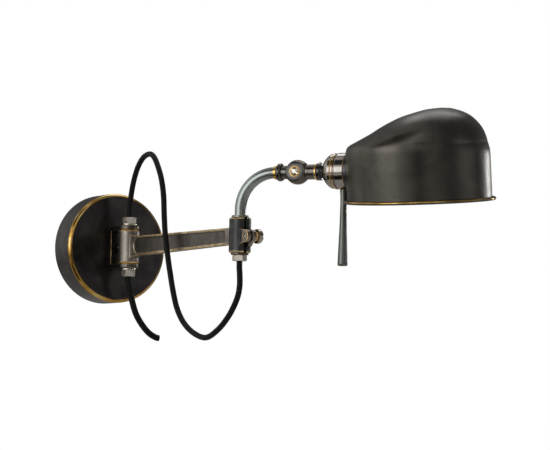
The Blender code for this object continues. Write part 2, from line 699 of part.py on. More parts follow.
def make_gooseneck():
    """A bent tube, swept as an open skin that is then given its wall."""
    curve = bpy.data.curves.new("gooseneck_tube", "CURVE")
    curve.dimensions = "3D"
    curve.bevel_depth = TUBE_RADIUS
    curve.bevel_resolution = 4
    curve.use_fill_caps = False
    spline = curve.splines.new("POLY")
    points = gooseneck_line(TUBE_FOOT)
    spline.points.add(len(points) - 1)
    for target, point in zip(spline.points, points):
        target.co = (*point, 1)
    tube = add("gooseneck_tube", welded_mesh("gooseneck_tube", curve), GUNMETAL, SWIVEL)
    wall = tube.modifiers.new("wall", "SOLIDIFY")
    wall.thickness = TUBE_WALL
    wall.offset = -1
    wall.use_even_offset = True
    return tube


def make_tube_hardware():
    """The ring that rests on the clamp, and the nipple, washer and gland nut below it."""
    ring = tube_section(TUBE_RADIUS + GAP, TOP_RING_RADIUS, 0, TOP_RING_HEIGHT, 0.6 * MM)
    turned("tube_top_ring", ring, GUNMETAL, SWIVEL, (0, 0, CLAMP_TOP + RUNNING_FIT), ring=True)
    nipple = tube_section(NIPPLE_RADIUS - NIPPLE_WALL, NIPPLE_RADIUS, GLAND_NUT_END + GAP,
                          NIPPLE_TOP)
    turned("tube_nipple", nipple, STEEL, SWIVEL, steps=STEPS_SMALL, ring=True)
    washer = tube_section(NIPPLE_RADIUS + GAP, CLAMP_WASHER_RADIUS, 0, CLAMP_WASHER_THICKNESS,
                          0.4 * MM)
    turned("tube_washer", washer, BRASS_DARK, SWIVEL, (0, 0, CLAMP_WASHER_END), ring=True)
    hex_nut("tube_gland_nut", NIPPLE_RADIUS + GAP, GLAND_NUT_HEIGHT, NICKEL, SWIVEL,
            (0, 0, GLAND_NUT_END + GLAND_NUT_HEIGHT / 2), (0, 0, 46))


def make_tube_end():
    """The brass ferrule on the tube's end and the bead collar that grips the knuckle's neck."""
    axis = (0, 0, SOCKET_AXIS_HEIGHT)
    ferrule = tube_section(TUBE_RADIUS + GAP, TUBE_RADIUS + GAP + FERRULE_WALL,
                           TUBE_END - FERRULE_LENGTH, TUBE_END, 0.3 * MM)
    turned("tube_ferrule", ferrule, BRASS_BRIGHT, SWIVEL, axis, (0, 90, 0), ring=True)
    start = TUBE_END + GAP
    end = start + COLLAR_BEAD_LENGTH
    bulge = COLLAR_BEAD_RADIUS - KNUCKLE_NECK_RADIUS - GAP
    middle = (start + end) / 2
    bead = [(COLLAR_BEAD_RADIUS - bulge + bulge * cos(radians(angle)),
             middle + COLLAR_BEAD_LENGTH / 2 * sin(radians(angle))) for angle in range(75, -90, -25)]
    inner = KNUCKLE_NECK_RADIUS + GAP
    profile = [(inner + 0.5 * MM, end)] + bead + [(inner, start), (inner, end)]
    collar = turned("tube_collar", profile, BRONZE, SWIVEL, axis, (0, 90, 0), ring=True)
    hole = turned("collar_tapping", solid_section(GRUB_RADIUS + GAP, KNUCKLE_NECK_RADIUS,
                                                  2 * COLLAR_BEAD_RADIUS),
                  None, SWIVEL, (middle, 0, SOCKET_AXIS_HEIGHT), steps=STEPS_SMALL)
    cut(collar, hole)
    grub = solid_section(GRUB_RADIUS, KNUCKLE_NECK_RADIUS + GAP, COLLAR_BEAD_RADIUS + 0.3 * MM,
                         0.3 * MM)
    turned("tube_collar_grub_screw", grub, BRASS_DARK, SWIVEL, (middle, 0, SOCKET_AXIS_HEIGHT),
           steps=STEPS_SMALL)


def knuckle_half(name, side, shaft_radius, shaft_from, shaft_to, material, parent):
    """Half a ball with a flat outer face, and the round shaft that carries it.

    `side` is -1 for the half on the lamp's left and 1 for the other. The shaft is relieved where
    the other half turns past it.
    """
    inner_face = RUNNING_FIT
    half = ball(name, KNUCKLE_RADIUS, material, parent, turn=(90, 0, 0))
    depth = 2 * KNUCKLE_RADIUS
    spare = box(f"{name}_split", (2 * depth, depth, 2 * depth), None, parent,
                (0, side * (inner_face - depth / 2), 0))
    outside = box(f"{name}_face", (2 * depth, depth, 2 * depth), None, parent,
                  (0, side * (KNUCKLE_HALF_WIDTH + depth / 2), 0))
    cut(half, spare, outside)
    shaft = turned(f"{name}_shaft", solid_section(shaft_radius, shaft_from, shaft_to), None, parent,
                   turn=(0, 90, 0))
    relief = ball(f"{name}_relief", KNUCKLE_RADIUS + GAP, None, parent, turn=(90, 0, 0))
    keep = box(f"{name}_keep", (2 * depth, depth, 2 * depth), None, parent,
               (0, side * (inner_face + depth / 2), 0))
    cut(relief, keep)
    cut(shaft, relief)
    join(half, shaft)
    bore = turned(f"{name}_bore", solid_section(KNUCKLE_SCREW_RADIUS + GAP, -depth, depth), None,
                  parent, turn=(90, 0, 0), steps=STEPS_SMALL)
    cut(half, bore)
    return half


def make_knuckle():
    """Two half balls on one screw: the near half stays with the tube and the far one tilts."""
    near = knuckle_half("knuckle_near_half", -1, KNUCKLE_NECK_RADIUS, TUBE_END + GAP - KNUCKLE_REACH,
                        -KNUCKLE_RADIUS + 5 * MM, BRONZE_WORN, TUBE_KNUCKLE)
    far = knuckle_half("knuckle_far_half", 1, KNUCKLE_STEM_RADIUS, KNUCKLE_RADIUS - 5 * MM,
                       STEM_END - KNUCKLE_REACH, BRONZE_WORN, TILT)
    channel = CORD_RADIUS + 0.4 * MM
    lead_way = turned("neck_bore", solid_section(channel, -2 * KNUCKLE_RADIUS, -KNUCKLE_RADIUS + MM),
                      None, TUBE_KNUCKLE, turn=(0, 90, 0), steps=STEPS_SMALL)
    cut(near, lead_way)
    neck_way = turned("stem_bore", solid_section(NECK_RADIUS + RUNNING_FIT,
                                                 NECK_START - KNUCKLE_REACH - GAP,
                                                 STEM_END - KNUCKLE_REACH + MM),
                      None, TILT, turn=(0, 90, 0))
    cut(far, neck_way)
    face = KNUCKLE_HALF_WIDTH
    head = face + GAP
    top = head + KNUCKLE_HEAD_HEIGHT
    dome = fillet((0, top), (KNUCKLE_HEAD_RADIUS, top), (KNUCKLE_HEAD_RADIUS, head + MM), 5)
    tail = -face - GAP - KNUCKLE_NUT_HEIGHT + MM
    profile = dome + [(KNUCKLE_HEAD_RADIUS, head), (KNUCKLE_SCREW_RADIUS, head),
                      (KNUCKLE_SCREW_RADIUS, tail), (0, tail)]
    screw = turned("knuckle_screw", profile, NICKEL, TUBE_KNUCKLE, turn=(90, 0, 0),
                   steps=STEPS_SMALL)
    slot = box("knuckle_screw_slot", (4 * KNUCKLE_HEAD_RADIUS, 2 * MM, 1.4 * MM), None, TUBE_KNUCKLE,
               (0, -top, 0), (0, -35, 0))
    cut(screw, slot)
    nut_start = face + GAP
    nut_end = nut_start + KNUCKLE_NUT_HEIGHT
    nut = [(0, nut_end + MM), (KNUCKLE_NUT_RADIUS - 1.5 * MM, nut_end), (KNUCKLE_NUT_RADIUS, nut_end - MM),
           (KNUCKLE_NUT_RADIUS, nut_start), (KNUCKLE_SCREW_RADIUS + GAP, nut_start),
           (KNUCKLE_SCREW_RADIUS + GAP, nut_end - MM + GAP), (0, nut_end - MM + GAP)]
    turned("knuckle_nut", nut, NICKEL, TUBE_KNUCKLE, turn=(-90, 0, 0), steps=STEPS_SMALL)


def make_stem_rings():
    """The brass ring at the stem's end, and the black collar that locks the socket's neck."""
    at_axis = (0, 90, 0)
    origin = -KNUCKLE_REACH
    inner = NECK_RADIUS + RUNNING_FIT
    ring_start = STEM_END + GAP + origin
    ring = tube_section(inner, STEM_RING_RADIUS, ring_start, ring_start + STEM_RING_LENGTH,
                        0.5 * MM)
    turned("stem_ring", ring, BRASS_BRIGHT, TILT, turn=at_axis, ring=True)
    start = SWIVEL_COLLAR_START + origin
    end = SWIVEL_COLLAR_END + origin
    collar_profile = tube_section(inner, SWIVEL_COLLAR_RADIUS, start, end, 0.6 * MM)
    collar = turned("swivel_collar", collar_profile, BLACK_LACQUER, TILT, turn=at_axis, ring=True)
    middle = (start + end) / 2
    hole = turned("swivel_tapping", solid_section(GRUB_RADIUS + GAP - 0.5 * MM, NECK_RADIUS - MM,
                                                  2 * SWIVEL_COLLAR_RADIUS),
                  None, TILT, (middle, 0, 0), steps=STEPS_SMALL)
    cut(collar, hole)
    screw = solid_section(GRUB_RADIUS - 0.5 * MM, inner + GAP, SWIVEL_COLLAR_RADIUS + MM, 0.3 * MM)
    turned("swivel_set_screw", screw, BRASS_DARK, TILT, (middle, 0, 0), steps=STEPS_SMALL)


# ---- socket -----------------------------------------------------------------------------------
def make_socket_shells():
    """The hollow neck, the spun cap with its stepped rings, and the band that holds the handle."""
    at_axis = (0, 90, 0)
    origin = -KNUCKLE_REACH
    neck = tube_section(NECK_RADIUS - NECK_WALL, NECK_RADIUS, NECK_START + origin,
                        CAP_START + 2 * CAP_WALL + origin)
    turned("socket_neck", neck, GUNMETAL, ROLL, turn=at_axis, ring=True)
    root = NECK_RADIUS + GAP
    step = CAP_RADIUS - 0.8 * MM
    line = [(CAP_RADIUS, CAP_END), (CAP_RADIUS, CAP_STEP + 0.3 * MM), (step, CAP_STEP - 0.2 * MM),
            (step, CAP_SHOULDER + 1.4 * MM), (CAP_RADIUS - 2 * MM, CAP_SHOULDER - 0.4 * MM),
            (CAP_RADIUS - 4.2 * MM, CAP_SHOULDER - 3.2 * MM),
            (CAP_RADIUS - 7.4 * MM, CAP_SHOULDER - 5.8 * MM),
            (CAP_RADIUS - 10.6 * MM, CAP_SHOULDER - 7.8 * MM), (root, CAP_START)]
    section = shell_section([(radius, along + origin) for radius, along in line], CAP_WALL)
    section = [(max(radius, root), along) for radius, along in section]
    turned("socket_cap", section, BRONZE_WORN, ROLL, turn=at_axis, steps=STEPS_LARGE, ring=True)
    groove = BAND_RADIUS - 1.4 * MM
    inner = BAND_RADIUS - BAND_WALL - 1.2 * MM
    start = CAP_END + GAP + origin
    band = [(BAND_RADIUS, BAND_END + origin), (BAND_RADIUS, BAND_START + origin),
            (groove, BAND_START - 0.2 * MM + origin), (groove, start), (inner, start),
            (inner, BAND_END + origin)]
    shell = turned("socket_band", band, BRONZE_WORN, ROLL, turn=at_axis, steps=STEPS_LARGE,
                   ring=True)
    tapping = turned("rod_tapping", solid_section(ROD_STUD_RADIUS + GAP, -2 * BAND_RADIUS, -MM),
                     None, ROLL, (ROD_STATION + origin, 0, 0), steps=STEPS_SMALL)
    cut(shell, tapping)


def make_handle_rod():
    """The hanging handle: slim below the band and thicker towards its rounded foot."""
    top = -BAND_RADIUS - GAP
    foot = -ROD_BOTTOM
    profile = [(0, top + BAND_WALL), (ROD_STUD_RADIUS, top + BAND_WALL), (ROD_STUD_RADIUS, top),
               (3.7 * MM, top), (3.7 * MM, top - 1.6 * MM), (3.15 * MM, top - 5 * MM),
               (3.05 * MM, top - 12 * MM), (3.4 * MM, top - 30 * MM), (4.2 * MM, top - 52 * MM),
               (5.3 * MM, foot + 3 * MM), (5.4 * MM, foot + 1.4 * MM), (4.6 * MM, foot), (0, foot)]
    turned("handle_rod", profile, GUNMETAL, ROLL, (ROD_STATION - KNUCKLE_REACH, 0, 0),
           steps=STEPS_SMALL)


def make_shade_holder():
    """The saddle flange between band and shade, and the ring nut that clamps them inside."""
    origin = -KNUCKLE_REACH
    sag = SHADE_RADIUS - sqrt(SHADE_RADIUS ** 2 - HOLDER_RADIUS ** 2)
    flange = tube_section(HOLDER_SHELL_RADIUS + GAP, HOLDER_RADIUS, BAND_END + GAP + origin,
                          SHADE_BACK + sag + origin + MM)
    holder = turned("shade_holder", flange, GUNMETAL, SHADE, turn=(0, 90, 0), steps=STEPS_LARGE,
                    ring=True)
    wall = turned("holder_seat", solid_section(SHADE_RADIUS + GAP, -SHADE_RADIUS, SHADE_RADIUS),
                  None, SHADE, (SHADE_CENTRE + origin, 0, 0), steps=STEPS_WALL)
    cut(holder, wall)
    nut = tube_section(HOLDER_SHELL_RADIUS + GAP, RING_NUT_RADIUS, RING_NUT_START + origin,
                       RING_NUT_START + RING_NUT_LENGTH + origin)
    turned("holder_ring_nut", nut, BRASS_DARK, SHADE, turn=(0, 90, 0), ring=True)


def shade_ring(height, back, front, count):
    """One level of the shell: an ellipse whose width follows the crown's rounding."""
    half_length = (back + front) / 2
    middle = (front - back) / 2
    rise = max(0.0, height - WALL_TOP) / (CROWN_HEIGHT - WALL_TOP)
    half_width = SHADE_RADIUS * sqrt(max(0.0, 1 - rise ** 2.1))
    return [(middle + half_length * cos(2 * pi * i / count), half_width * sin(2 * pi * i / count),
             height) for i in range(count)]


def make_shade():
    """The spun hood: level rings lofted from the rim to the crown, then given a wall."""
    count = STEPS_LARGE
    work = bmesh.new()
    rings = []
    scale = SHADE_RADIUS / (SHADE_STATIONS[0][1] * MM)
    for height, back, front in SHADE_STATIONS:
        points = shade_ring(height * MM, back * MM * scale, front * MM * scale, count)
        rings.append([work.verts.new(point) for point in points])
    for below, above in zip(rings, rings[1:]):
        for i in range(count):
            j = (i + 1) % count
            work.faces.new((below[i], below[j], above[j], above[i]))
    peak = work.verts.new((CROWN_PEAK_OFFSET, 0, CROWN_HEIGHT))
    for i in range(count):
        work.faces.new((rings[-1][i], rings[-1][(i + 1) % count], peak))
    bmesh.ops.recalc_face_normals(work, faces=work.faces)
    mesh = bpy.data.meshes.new("shade")
    work.to_mesh(mesh)
    work.free()
    place = (SHADE_CENTRE - KNUCKLE_REACH, 0, -RIM_DROP)
    shade = add("shade", mesh, BRONZE, SHADE, place)
    wall = shade.modifiers.new("wall", "SOLIDIFY")
    wall.thickness = SHADE_WALL
    wall.offset = -1
    half_width = (RIM_LIP_OVERHANG + 0.7 * SHADE_WALL) / 2
    middle = SHADE_RADIUS + RIM_LIP_OVERHANG - half_width
    lip = [(middle + half_width * cos(angle), RIM_LIP_HALF_HEIGHT * sin(angle))
           for angle in (pi / 2 - 2 * pi * i / 8 for i in range(8))]
    rim = turned("shade_rim", lip, None, SHADE, place, steps=STEPS_LARGE, ring=True)
    join(shade, rim)
    opening = turned("shade_opening", solid_section(HOLDER_SHELL_RADIUS + 2 * GAP,
                                                    SHADE_BACK - KNUCKLE_REACH - 9 * MM,
                                                    SHADE_BACK - KNUCKLE_REACH + 9 * MM),
                     None, SHADE, turn=(0, 90, 0))
    cut(shade, opening)


def make_lampholder():
    """The insulating holder with its screw shell and spring contact."""
    at_axis = (0, 90, 0)
    origin = -KNUCKLE_REACH
    start = HOLDER_SHELL_START + origin
    end = HOLDER_SHELL_END + origin
    floor = start + 2 * HOLDER_SHELL_WALL
    inner = HOLDER_SHELL_RADIUS - HOLDER_SHELL_WALL
    lead_hole = CORD_RADIUS + GAP
    body = [(HOLDER_SHELL_RADIUS, end), (HOLDER_SHELL_RADIUS, start), (lead_hole, start),
            (lead_hole, floor), (inner, floor), (inner, end)]
    turned("lampholder_body", body, BAKELITE, SHADE, turn=at_axis, ring=True)
    shell_outer = inner - GAP
    shell = tube_section(shell_outer - SCREW_SHELL_WALL, shell_outer, floor + MM, end - 2 * MM)
    turned("lampholder_screw_shell", shell, BRASS_BRIGHT, SHADE, turn=at_axis, ring=True)
    contact = solid_section(2 * CORD_RADIUS, floor + GAP, floor + MM)
    turned("lampholder_contact", contact, BRASS_BRIGHT, SHADE, turn=at_axis, steps=STEPS_SMALL)


def make_lamp():
    """A tubular screw-base lamp: brass cap, insulator tip, glass tube and filament mount."""
    at_axis = (0, 90, 0)
    origin = -KNUCKLE_REACH
    start = LAMP_BASE_START + origin
    end = LAMP_BASE_END + origin
    tip = start + 1.2 * MM
    base = [(LAMP_BASE_RADIUS, end), (LAMP_BASE_RADIUS, start + 5 * MM), (7 * MM, tip + MM),
            (4 * MM, tip + MM), (4 * MM, tip + 3 * MM), (LAMP_BASE_RADIUS - MM, start + 7 * MM),
            (LAMP_BASE_RADIUS - MM, end)]
    turned("lamp_cap", base, NICKEL, SHADE, turn=at_axis, ring=True)
    insulator = [(0, tip + 2.4 * MM), (3.6 * MM, tip + 2.4 * MM), (3.6 * MM, tip), (0, tip - 0.6 * MM)]
    turned("lamp_tip", insulator, BAKELITE, SHADE, turn=at_axis, steps=STEPS_SMALL)
    glass_end = LAMP_END + origin
    neck_radius = LAMP_BASE_RADIUS - MM - GAP
    dome = [(LAMP_RADIUS * cos(radians(angle)), glass_end - LAMP_RADIUS + LAMP_RADIUS
             * sin(radians(angle))) for angle in (90, 72, 54, 36, 18, 0)]
    outer = dome + [(LAMP_RADIUS, end + 7 * MM), (neck_radius + 1.2 * MM, end + GAP),
                    (neck_radius, end), (neck_radius, end - 8 * MM)]
    outer[0] = (0, glass_end)
    wall = LAMP_GLASS_WALL
    inside = [(neck_radius - wall, end - 8 * MM), (neck_radius - wall, end + MM),
              (LAMP_RADIUS - wall, end + 7.6 * MM)]
    inside += [(max(radius - wall, 0) if radius > wall else 0, min(along, glass_end - wall))
               for radius, along in reversed(dome[1:])]
    inside.append((0, glass_end - wall))
    turned("lamp_glass", outer + inside, GLASS, SHADE, turn=at_axis, steps=STEPS_SMALL)
    mount = [(0, end + 62 * MM), (1.2 * MM, end + 60 * MM), (1.2 * MM, end + 14 * MM),
             (4 * MM, end + 6 * MM), (4 * MM, end - 6 * MM), (0, end - 6 * MM)]
    turned("lamp_filament_mount", mount, GLASS, SHADE, turn=at_axis, steps=STEPS_SMALL)


# ---- cord -------------------------------------------------------------------------------------
def make_cords():
    """The one flex in four stretches: in the tube, the free loop, in the hinge with its tail, and
    in the socket's neck. Stretches meet on the joint axes, so that nothing pulls apart."""
    loop_start = Vector((0, -ARM_LENGTH, GLAND_NUT_END - GAP))
    loop_end = Vector((0, 0, HINGE_NUT_END + GAP))
    loop = [tuple(loop_start / MM)] + list(LOOP_ROUTE) + [tuple(loop_end / MM)]
    cord("cord_loop", smooth_route(loop, CORD_POINT_SPACING), CORD_RADIUS, SWING)
    tail = [(0, 0, (-HINGE_NUT_END) / MM)] + list(TAIL_ROUTE)
    inside = [Vector((0, 0, HINGE_NUT_END))]
    cord("cord_tail", inside + smooth_route(tail, CORD_POINT_SPACING), TAIL_RADIUS, None,
         (0, HINGE_Y, 0))
    lead = gooseneck_line(GLAND_NUT_END + GAP)
    neck_stop = KNUCKLE_LEFT - MM
    lead.append((neck_stop, 0, SOCKET_AXIS_HEIGHT))
    cord("lamp_lead_tube", [Vector(point) for point in lead], CORD_RADIUS - GAP, SWIVEL)
    origin = -KNUCKLE_REACH
    socket_end = HOLDER_SHELL_START + 2 * HOLDER_SHELL_WALL + origin - GAP
    head = [Vector((NECK_START + GAP + origin, 0, 0)), Vector((socket_end, 0, 0))]
    cord("lamp_lead_socket", head, CORD_RADIUS, SHADE)


clear_scene()
PARTS = collection("picture_light")
CUTTERS = collection("cutters")

BRONZE = finish("dark bronze", "34312e", 0.32, 0.9)
BRONZE_WORN = finish("worn cast bronze", "6a625a", 0.38, 0.9)
BRONZE_BEARING = finish("bearing bronze", "a87c42", 0.4, 1.0)
BRASS_BRIGHT = finish("rubbed brass", "d0a24a", 0.25, 1.0)
BRASS_DARK = finish("antique brass", "8f7a55", 0.35, 1.0)
NICKEL = finish("old nickel", "c6beb2", 0.25, 1.0)
STEEL = finish("plain steel", "9a9a98", 0.35, 1.0)
ZINC = finish("zinc plated steel", "a8aaa6", 0.45, 1.0)
GUNMETAL = finish("gunmetal", "5a605c", 0.35, 0.9)
BLACK_LACQUER = finish("black lacquer", "121110", 0.3, 0.3)
BLACK_BRAID = finish("black braided cord", "14120f", 0.8, 0.0)
BAKELITE = finish("black phenolic", "1b1917", 0.5, 0.0)
GLASS = finish("frosted glass", "e8e6df", 0.3, 0.0)

SWING = empty("arm_swing_axis", None, (0, HINGE_Y, 0))
CLAMP_TURN = empty("clamp_screw_axis", SWING, (0, -ARM_LENGTH - EAR_REACH, -EAR_SCREW_DROP))
SWIVEL = empty("tube_swivel_axis", SWING, (0, -ARM_LENGTH, 0), (0, 0, TUBE_TURN - 90))
TUBE_KNUCKLE = empty("knuckle_seat", SWIVEL, (KNUCKLE_REACH, 0, SOCKET_AXIS_HEIGHT))
TILT = empty("knuckle_tilt_axis", SWIVEL, (KNUCKLE_REACH, 0, SOCKET_AXIS_HEIGHT))
ROLL = empty("shade_roll_axis", TILT, (0, 0, 0))
SHADE = empty("shade_seat", ROLL, (0, 0, 0), (SHADE_ROLL, 0, 0))

make_crossbar()
make_backplate()
make_bracket()
make_bracket_bolt()
make_hinge_hardware()
make_arm_casting()
make_hinge_bearing()
make_clamp_screw()
make_gooseneck()
make_tube_hardware()
make_tube_end()
make_knuckle()
make_stem_rings()
make_socket_shells()
make_handle_rod()
make_shade_holder()
make_shade()
make_lampholder()
make_lamp()
make_cords()
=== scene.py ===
# %% [markdown]
# # A swing-arm picture light
#
# A wall lamp of dark bronzed brass: a spun wall plate, a cast clevis and arm, a bent tube held
# in a split clamp, a friction knuckle and a hood that throws its light down on a picture. The packed
# CAD model is loaded first and never changed; everything visible is then modelled around it, so each
# piece takes its place and its size from the CAD piece it stands for.

import json
import math

import bpy
import numpy as np
from mathutils import Matrix, Vector


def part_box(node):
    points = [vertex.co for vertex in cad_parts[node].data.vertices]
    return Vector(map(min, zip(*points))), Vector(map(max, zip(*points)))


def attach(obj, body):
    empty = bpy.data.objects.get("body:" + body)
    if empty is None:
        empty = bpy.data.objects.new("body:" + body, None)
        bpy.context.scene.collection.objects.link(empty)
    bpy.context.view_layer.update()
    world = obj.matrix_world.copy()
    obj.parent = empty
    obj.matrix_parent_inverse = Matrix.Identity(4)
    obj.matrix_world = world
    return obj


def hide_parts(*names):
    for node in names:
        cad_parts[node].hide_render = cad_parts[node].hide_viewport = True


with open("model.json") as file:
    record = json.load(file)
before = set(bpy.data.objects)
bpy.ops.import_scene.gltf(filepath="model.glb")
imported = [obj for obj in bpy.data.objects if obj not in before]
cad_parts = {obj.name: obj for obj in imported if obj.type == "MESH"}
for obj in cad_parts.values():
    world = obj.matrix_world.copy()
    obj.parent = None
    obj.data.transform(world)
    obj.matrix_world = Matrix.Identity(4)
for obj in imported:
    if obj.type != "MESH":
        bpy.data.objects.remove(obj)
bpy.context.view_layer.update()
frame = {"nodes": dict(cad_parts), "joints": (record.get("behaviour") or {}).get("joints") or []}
MM = 0.001

# %% [markdown]
# ## The camera
#
# A long lens a good way off keeps the lamp's proportions honest. The camera stands to the lamp's left,
# a little below the arm, and is rolled by one degree, as a hand-set tripod often is. Its place is
# written down in metres, and its axes are worked out from the three angles.

# %% Camera
CAMERA_PLACE = Vector((-1.3387, -2.5200, -0.1948))
CAMERA_AZIMUTH = math.radians(-32.024)
CAMERA_ELEVATION = math.radians(-4.574)
CAMERA_ROLL = math.radians(1.079)
LENS_MM = 158.83


def camera_axes(azimuth, elevation, roll):
    back = Vector((math.sin(azimuth) * math.cos(elevation),
                   -math.cos(azimuth) * math.cos(elevation), math.sin(elevation)))
    level = Vector((math.cos(azimuth), math.sin(azimuth), 0))
    right = level * math.cos(roll) + back.cross(level) * math.sin(roll)
    return Matrix((right, back.cross(right), back)).transposed().to_4x4()


camera = bpy.data.objects.new("camera", bpy.data.cameras.new("camera"))
bpy.context.scene.collection.objects.link(camera)
camera.data.lens = LENS_MM
camera.data.sensor_width = 36
camera.matrix_world = (Matrix.Translation(CAMERA_PLACE)
                       @ camera_axes(CAMERA_AZIMUTH, CAMERA_ELEVATION, CAMERA_ROLL))
bpy.context.scene.camera = camera
print("camera looks along", [round(x, 3) for x in -camera.matrix_world.col[2].xyz])

# %% [markdown]
# ## Axes to turn and measure on
#
# Nearly every piece of a lamp comes off a lathe, so each needs the line that it was turned about.
# The joints of the CAD model give those lines. Every frame below has its Z axis along such a line.

# %% The lathe lines
joints = {joint["name"]: joint for joint in frame["joints"]}


def upright(point):
    return Matrix.Translation(Vector(point))


def lying(point, along, up):
    """A frame whose Z runs along a line and whose X is as near as it can be to `up`."""
    z = Vector(along).normalized()
    x = (Vector(up) - z * Vector(up).dot(z)).normalized()
    axes = Matrix((x, z.cross(x), z)).transposed().to_4x4()
    return Matrix.Translation(Vector(point)) @ axes


SHADE_ROLL = math.radians(7.9)
UP = (0, 0, 1)
hinge_at = Vector(joints["arm_swing"]["pos_m"])
clamp_at = Vector(joints["tube_swivel"]["pos_m"])
knuckle_at = Vector(joints["knuckle_tilt"]["pos_m"])
socket_way = Vector(joints["shade_roll"]["axis"])
near_way = Vector(joints["knuckle_tilt"]["axis"])
WALL_LINE = lying((0, 0, 0), (0, -1, 0), UP)
HINGE_LINE = upright(hinge_at)
CLAMP_LINE = upright(clamp_at)
SCREW_LINE = lying(joints["clamp_screw_turn"]["pos_m"], (1, 0, 0), UP)
SOCKET_LINE = lying((clamp_at.x, clamp_at.y, knuckle_at.z), socket_way, UP)
KNUCKLE_LINE = lying(knuckle_at, near_way, UP)
SHADE_LINE = SOCKET_LINE @ Matrix.Rotation(SHADE_ROLL, 4, "Z")
# The hood is easier to think of the right way up: X along the socket, Z up.
HOOD_FRAME = SHADE_LINE @ Matrix(((0, 0, 1, 0), (0, -1, 0, 0), (1, 0, 0, 0), (0, 0, 0, 1)))
print("socket axis:", [round(x, 4) for x in socket_way])


# %% Read a CAD piece's size along its own lathe line
def sized(node, line):
    """(start, end, radius) in metres of a round CAD piece, measured along a frame's Z."""
    to_line = line.inverted()
    points = [to_line @ vertex.co for vertex in frame["nodes"][node].data.vertices]
    radius = max(math.hypot(point.x, point.y) for point in points)
    return min(point.z for point in points), max(point.z for point in points), radius


for name, line in (("backplate_canopy", WALL_LINE), ("hinge_pin", HINGE_LINE),
                   ("socket_band", SOCKET_LINE)):
    print(name, [round(size * 1000, 2) for size in sized(name, line)], "mm")

# %% [markdown]
# ## Colours and shader nodes
#
# Every finish is written as the sRGB hex value that a colour chart would give, and one function turns
# it into the linear numbers that the renderer works with. One more adds a node with its settings.

# %% Colour and node helpers
def linear(colour):
    channels = [int(colour[i:i + 2], 16) / 255 for i in (0, 2, 4)]
    return (*[c / 12.92 if c < 0.04045 else ((c + 0.055) / 1.055) ** 2.4 for c in channels], 1)


def add_node(tree, kind, settings=None, links=None):
    """A node with its properties or input values set, and its inputs joined to other sockets."""
    node = tree.nodes.new(kind)
    for name, value in (settings or {}).items():
        if isinstance(name, str) and hasattr(node, name):
            setattr(node, name, value)
        else:
            node.inputs[name].default_value = value
    for name, socket in (links or {}).items():
        tree.links.new(socket, node.inputs[name])
    return node


def ramp_stops(node, stops):
    """Fills a colour ramp: (position, sRGB hex) pairs."""
    ramp = node.color_ramp
    while len(ramp.elements) < len(stops):
        ramp.elements.new(0.5)
    for element, (position, colour) in zip(ramp.elements, stops):
        element.position = position
        element.color = linear(colour)


def new_material(name, **constants):
    """A Principled material whose constants sit on the shader's own sockets."""
    material = bpy.data.materials.new(name)
    material.use_nodes = True
    shader = material.node_tree.nodes["Principled BSDF"]
    for socket, value in constants.items():
        shader.inputs[socket.replace("_", " ")].default_value = value
    return material, material.node_tree, shader


# %% [markdown]
# ## Patinated brass
#
# The lamp is brass that was darkened in a bath and then rubbed back. The bath leaves soft clouds a few
# centimetres across, brown in the thin places, over a fine grain, and handling smears its gloss.
# So each finish is a metal with a cloudy colour, a roughness that wanders with a second noise, and a
# very shallow grain in the bump. The same recipe gives every shade of it, from the black of the hood
# to the grey of the handled arm.

# %% The patina recipe
def patina(name, dark, mid, pale, roughness, cloud_mm=28, grain_mm=0.7, grain_depth_mm=0.02,
           contrast=0.22):
    material, tree, shader = new_material(name, Metallic=1.0)
    place = add_node(tree, "ShaderNodeTexCoord").outputs["Object"]
    clouds = add_node(tree, "ShaderNodeTexNoise", {"Scale": 1000 / cloud_mm, "Detail": 5.0,
                                                   "Roughness": 0.6, "Distortion": 0.6},
                      {"Vector": place})
    tone = add_node(tree, "ShaderNodeValToRGB", None, {"Fac": clouds.outputs["Fac"]})
    ramp_stops(tone, [(0.5 - contrast, dark), (0.5, mid), (0.5 + contrast, pale)])
    tree.links.new(tone.outputs["Color"], shader.inputs["Base Color"])
    smears = add_node(tree, "ShaderNodeTexNoise", {"Scale": 4000 / cloud_mm, "Detail": 4.0},
                      {"Vector": place})
    gloss = add_node(tree, "ShaderNodeMapRange", {"To Min": roughness * 0.82,
                                                  "To Max": roughness * 1.2},
                     {"Value": smears.outputs["Fac"]})
    tree.links.new(gloss.outputs["Result"], shader.inputs["Roughness"])
    grain = add_node(tree, "ShaderNodeTexNoise", {"Scale": 1000 / grain_mm, "Detail": 3.0},
                     {"Vector": place})
    bump = add_node(tree, "ShaderNodeBump", {"Strength": 0.5, "Distance": grain_depth_mm * MM},
                    {"Height": grain.outputs["Fac"]})
    tree.links.new(bump.outputs["Normal"], shader.inputs["Normal"])
    return material


# %% [markdown]
# Where the patina has worn through on an edge, bare brass shows, bright where hands rub most and still
# brown in between. Each edge is its own narrow band of faces, so the brass is simply the material of
# those faces, broken up along its length by a noise of about the width of a fingertip.

# %% Rubbed edges
def rubbed(name, brown, brass, bright, patch_mm=9.0, roughness=0.24, share=0.5):
    material, tree, shader = new_material(name, Metallic=1.0, Roughness=roughness)
    place = add_node(tree, "ShaderNodeTexCoord").outputs["Object"]
    patches = add_node(tree, "ShaderNodeTexNoise", {"Scale": 1000 / patch_mm, "Detail": 4.0,
                                                    "Roughness": 0.65}, {"Vector": place})
    tone = add_node(tree, "ShaderNodeValToRGB", None, {"Fac": patches.outputs["Fac"]})
    ramp_stops(tone, [(share - 0.16, brown), (share, brass), (share + 0.2, bright)])
    tree.links.new(tone.outputs["Color"], shader.inputs["Base Color"])
    return material


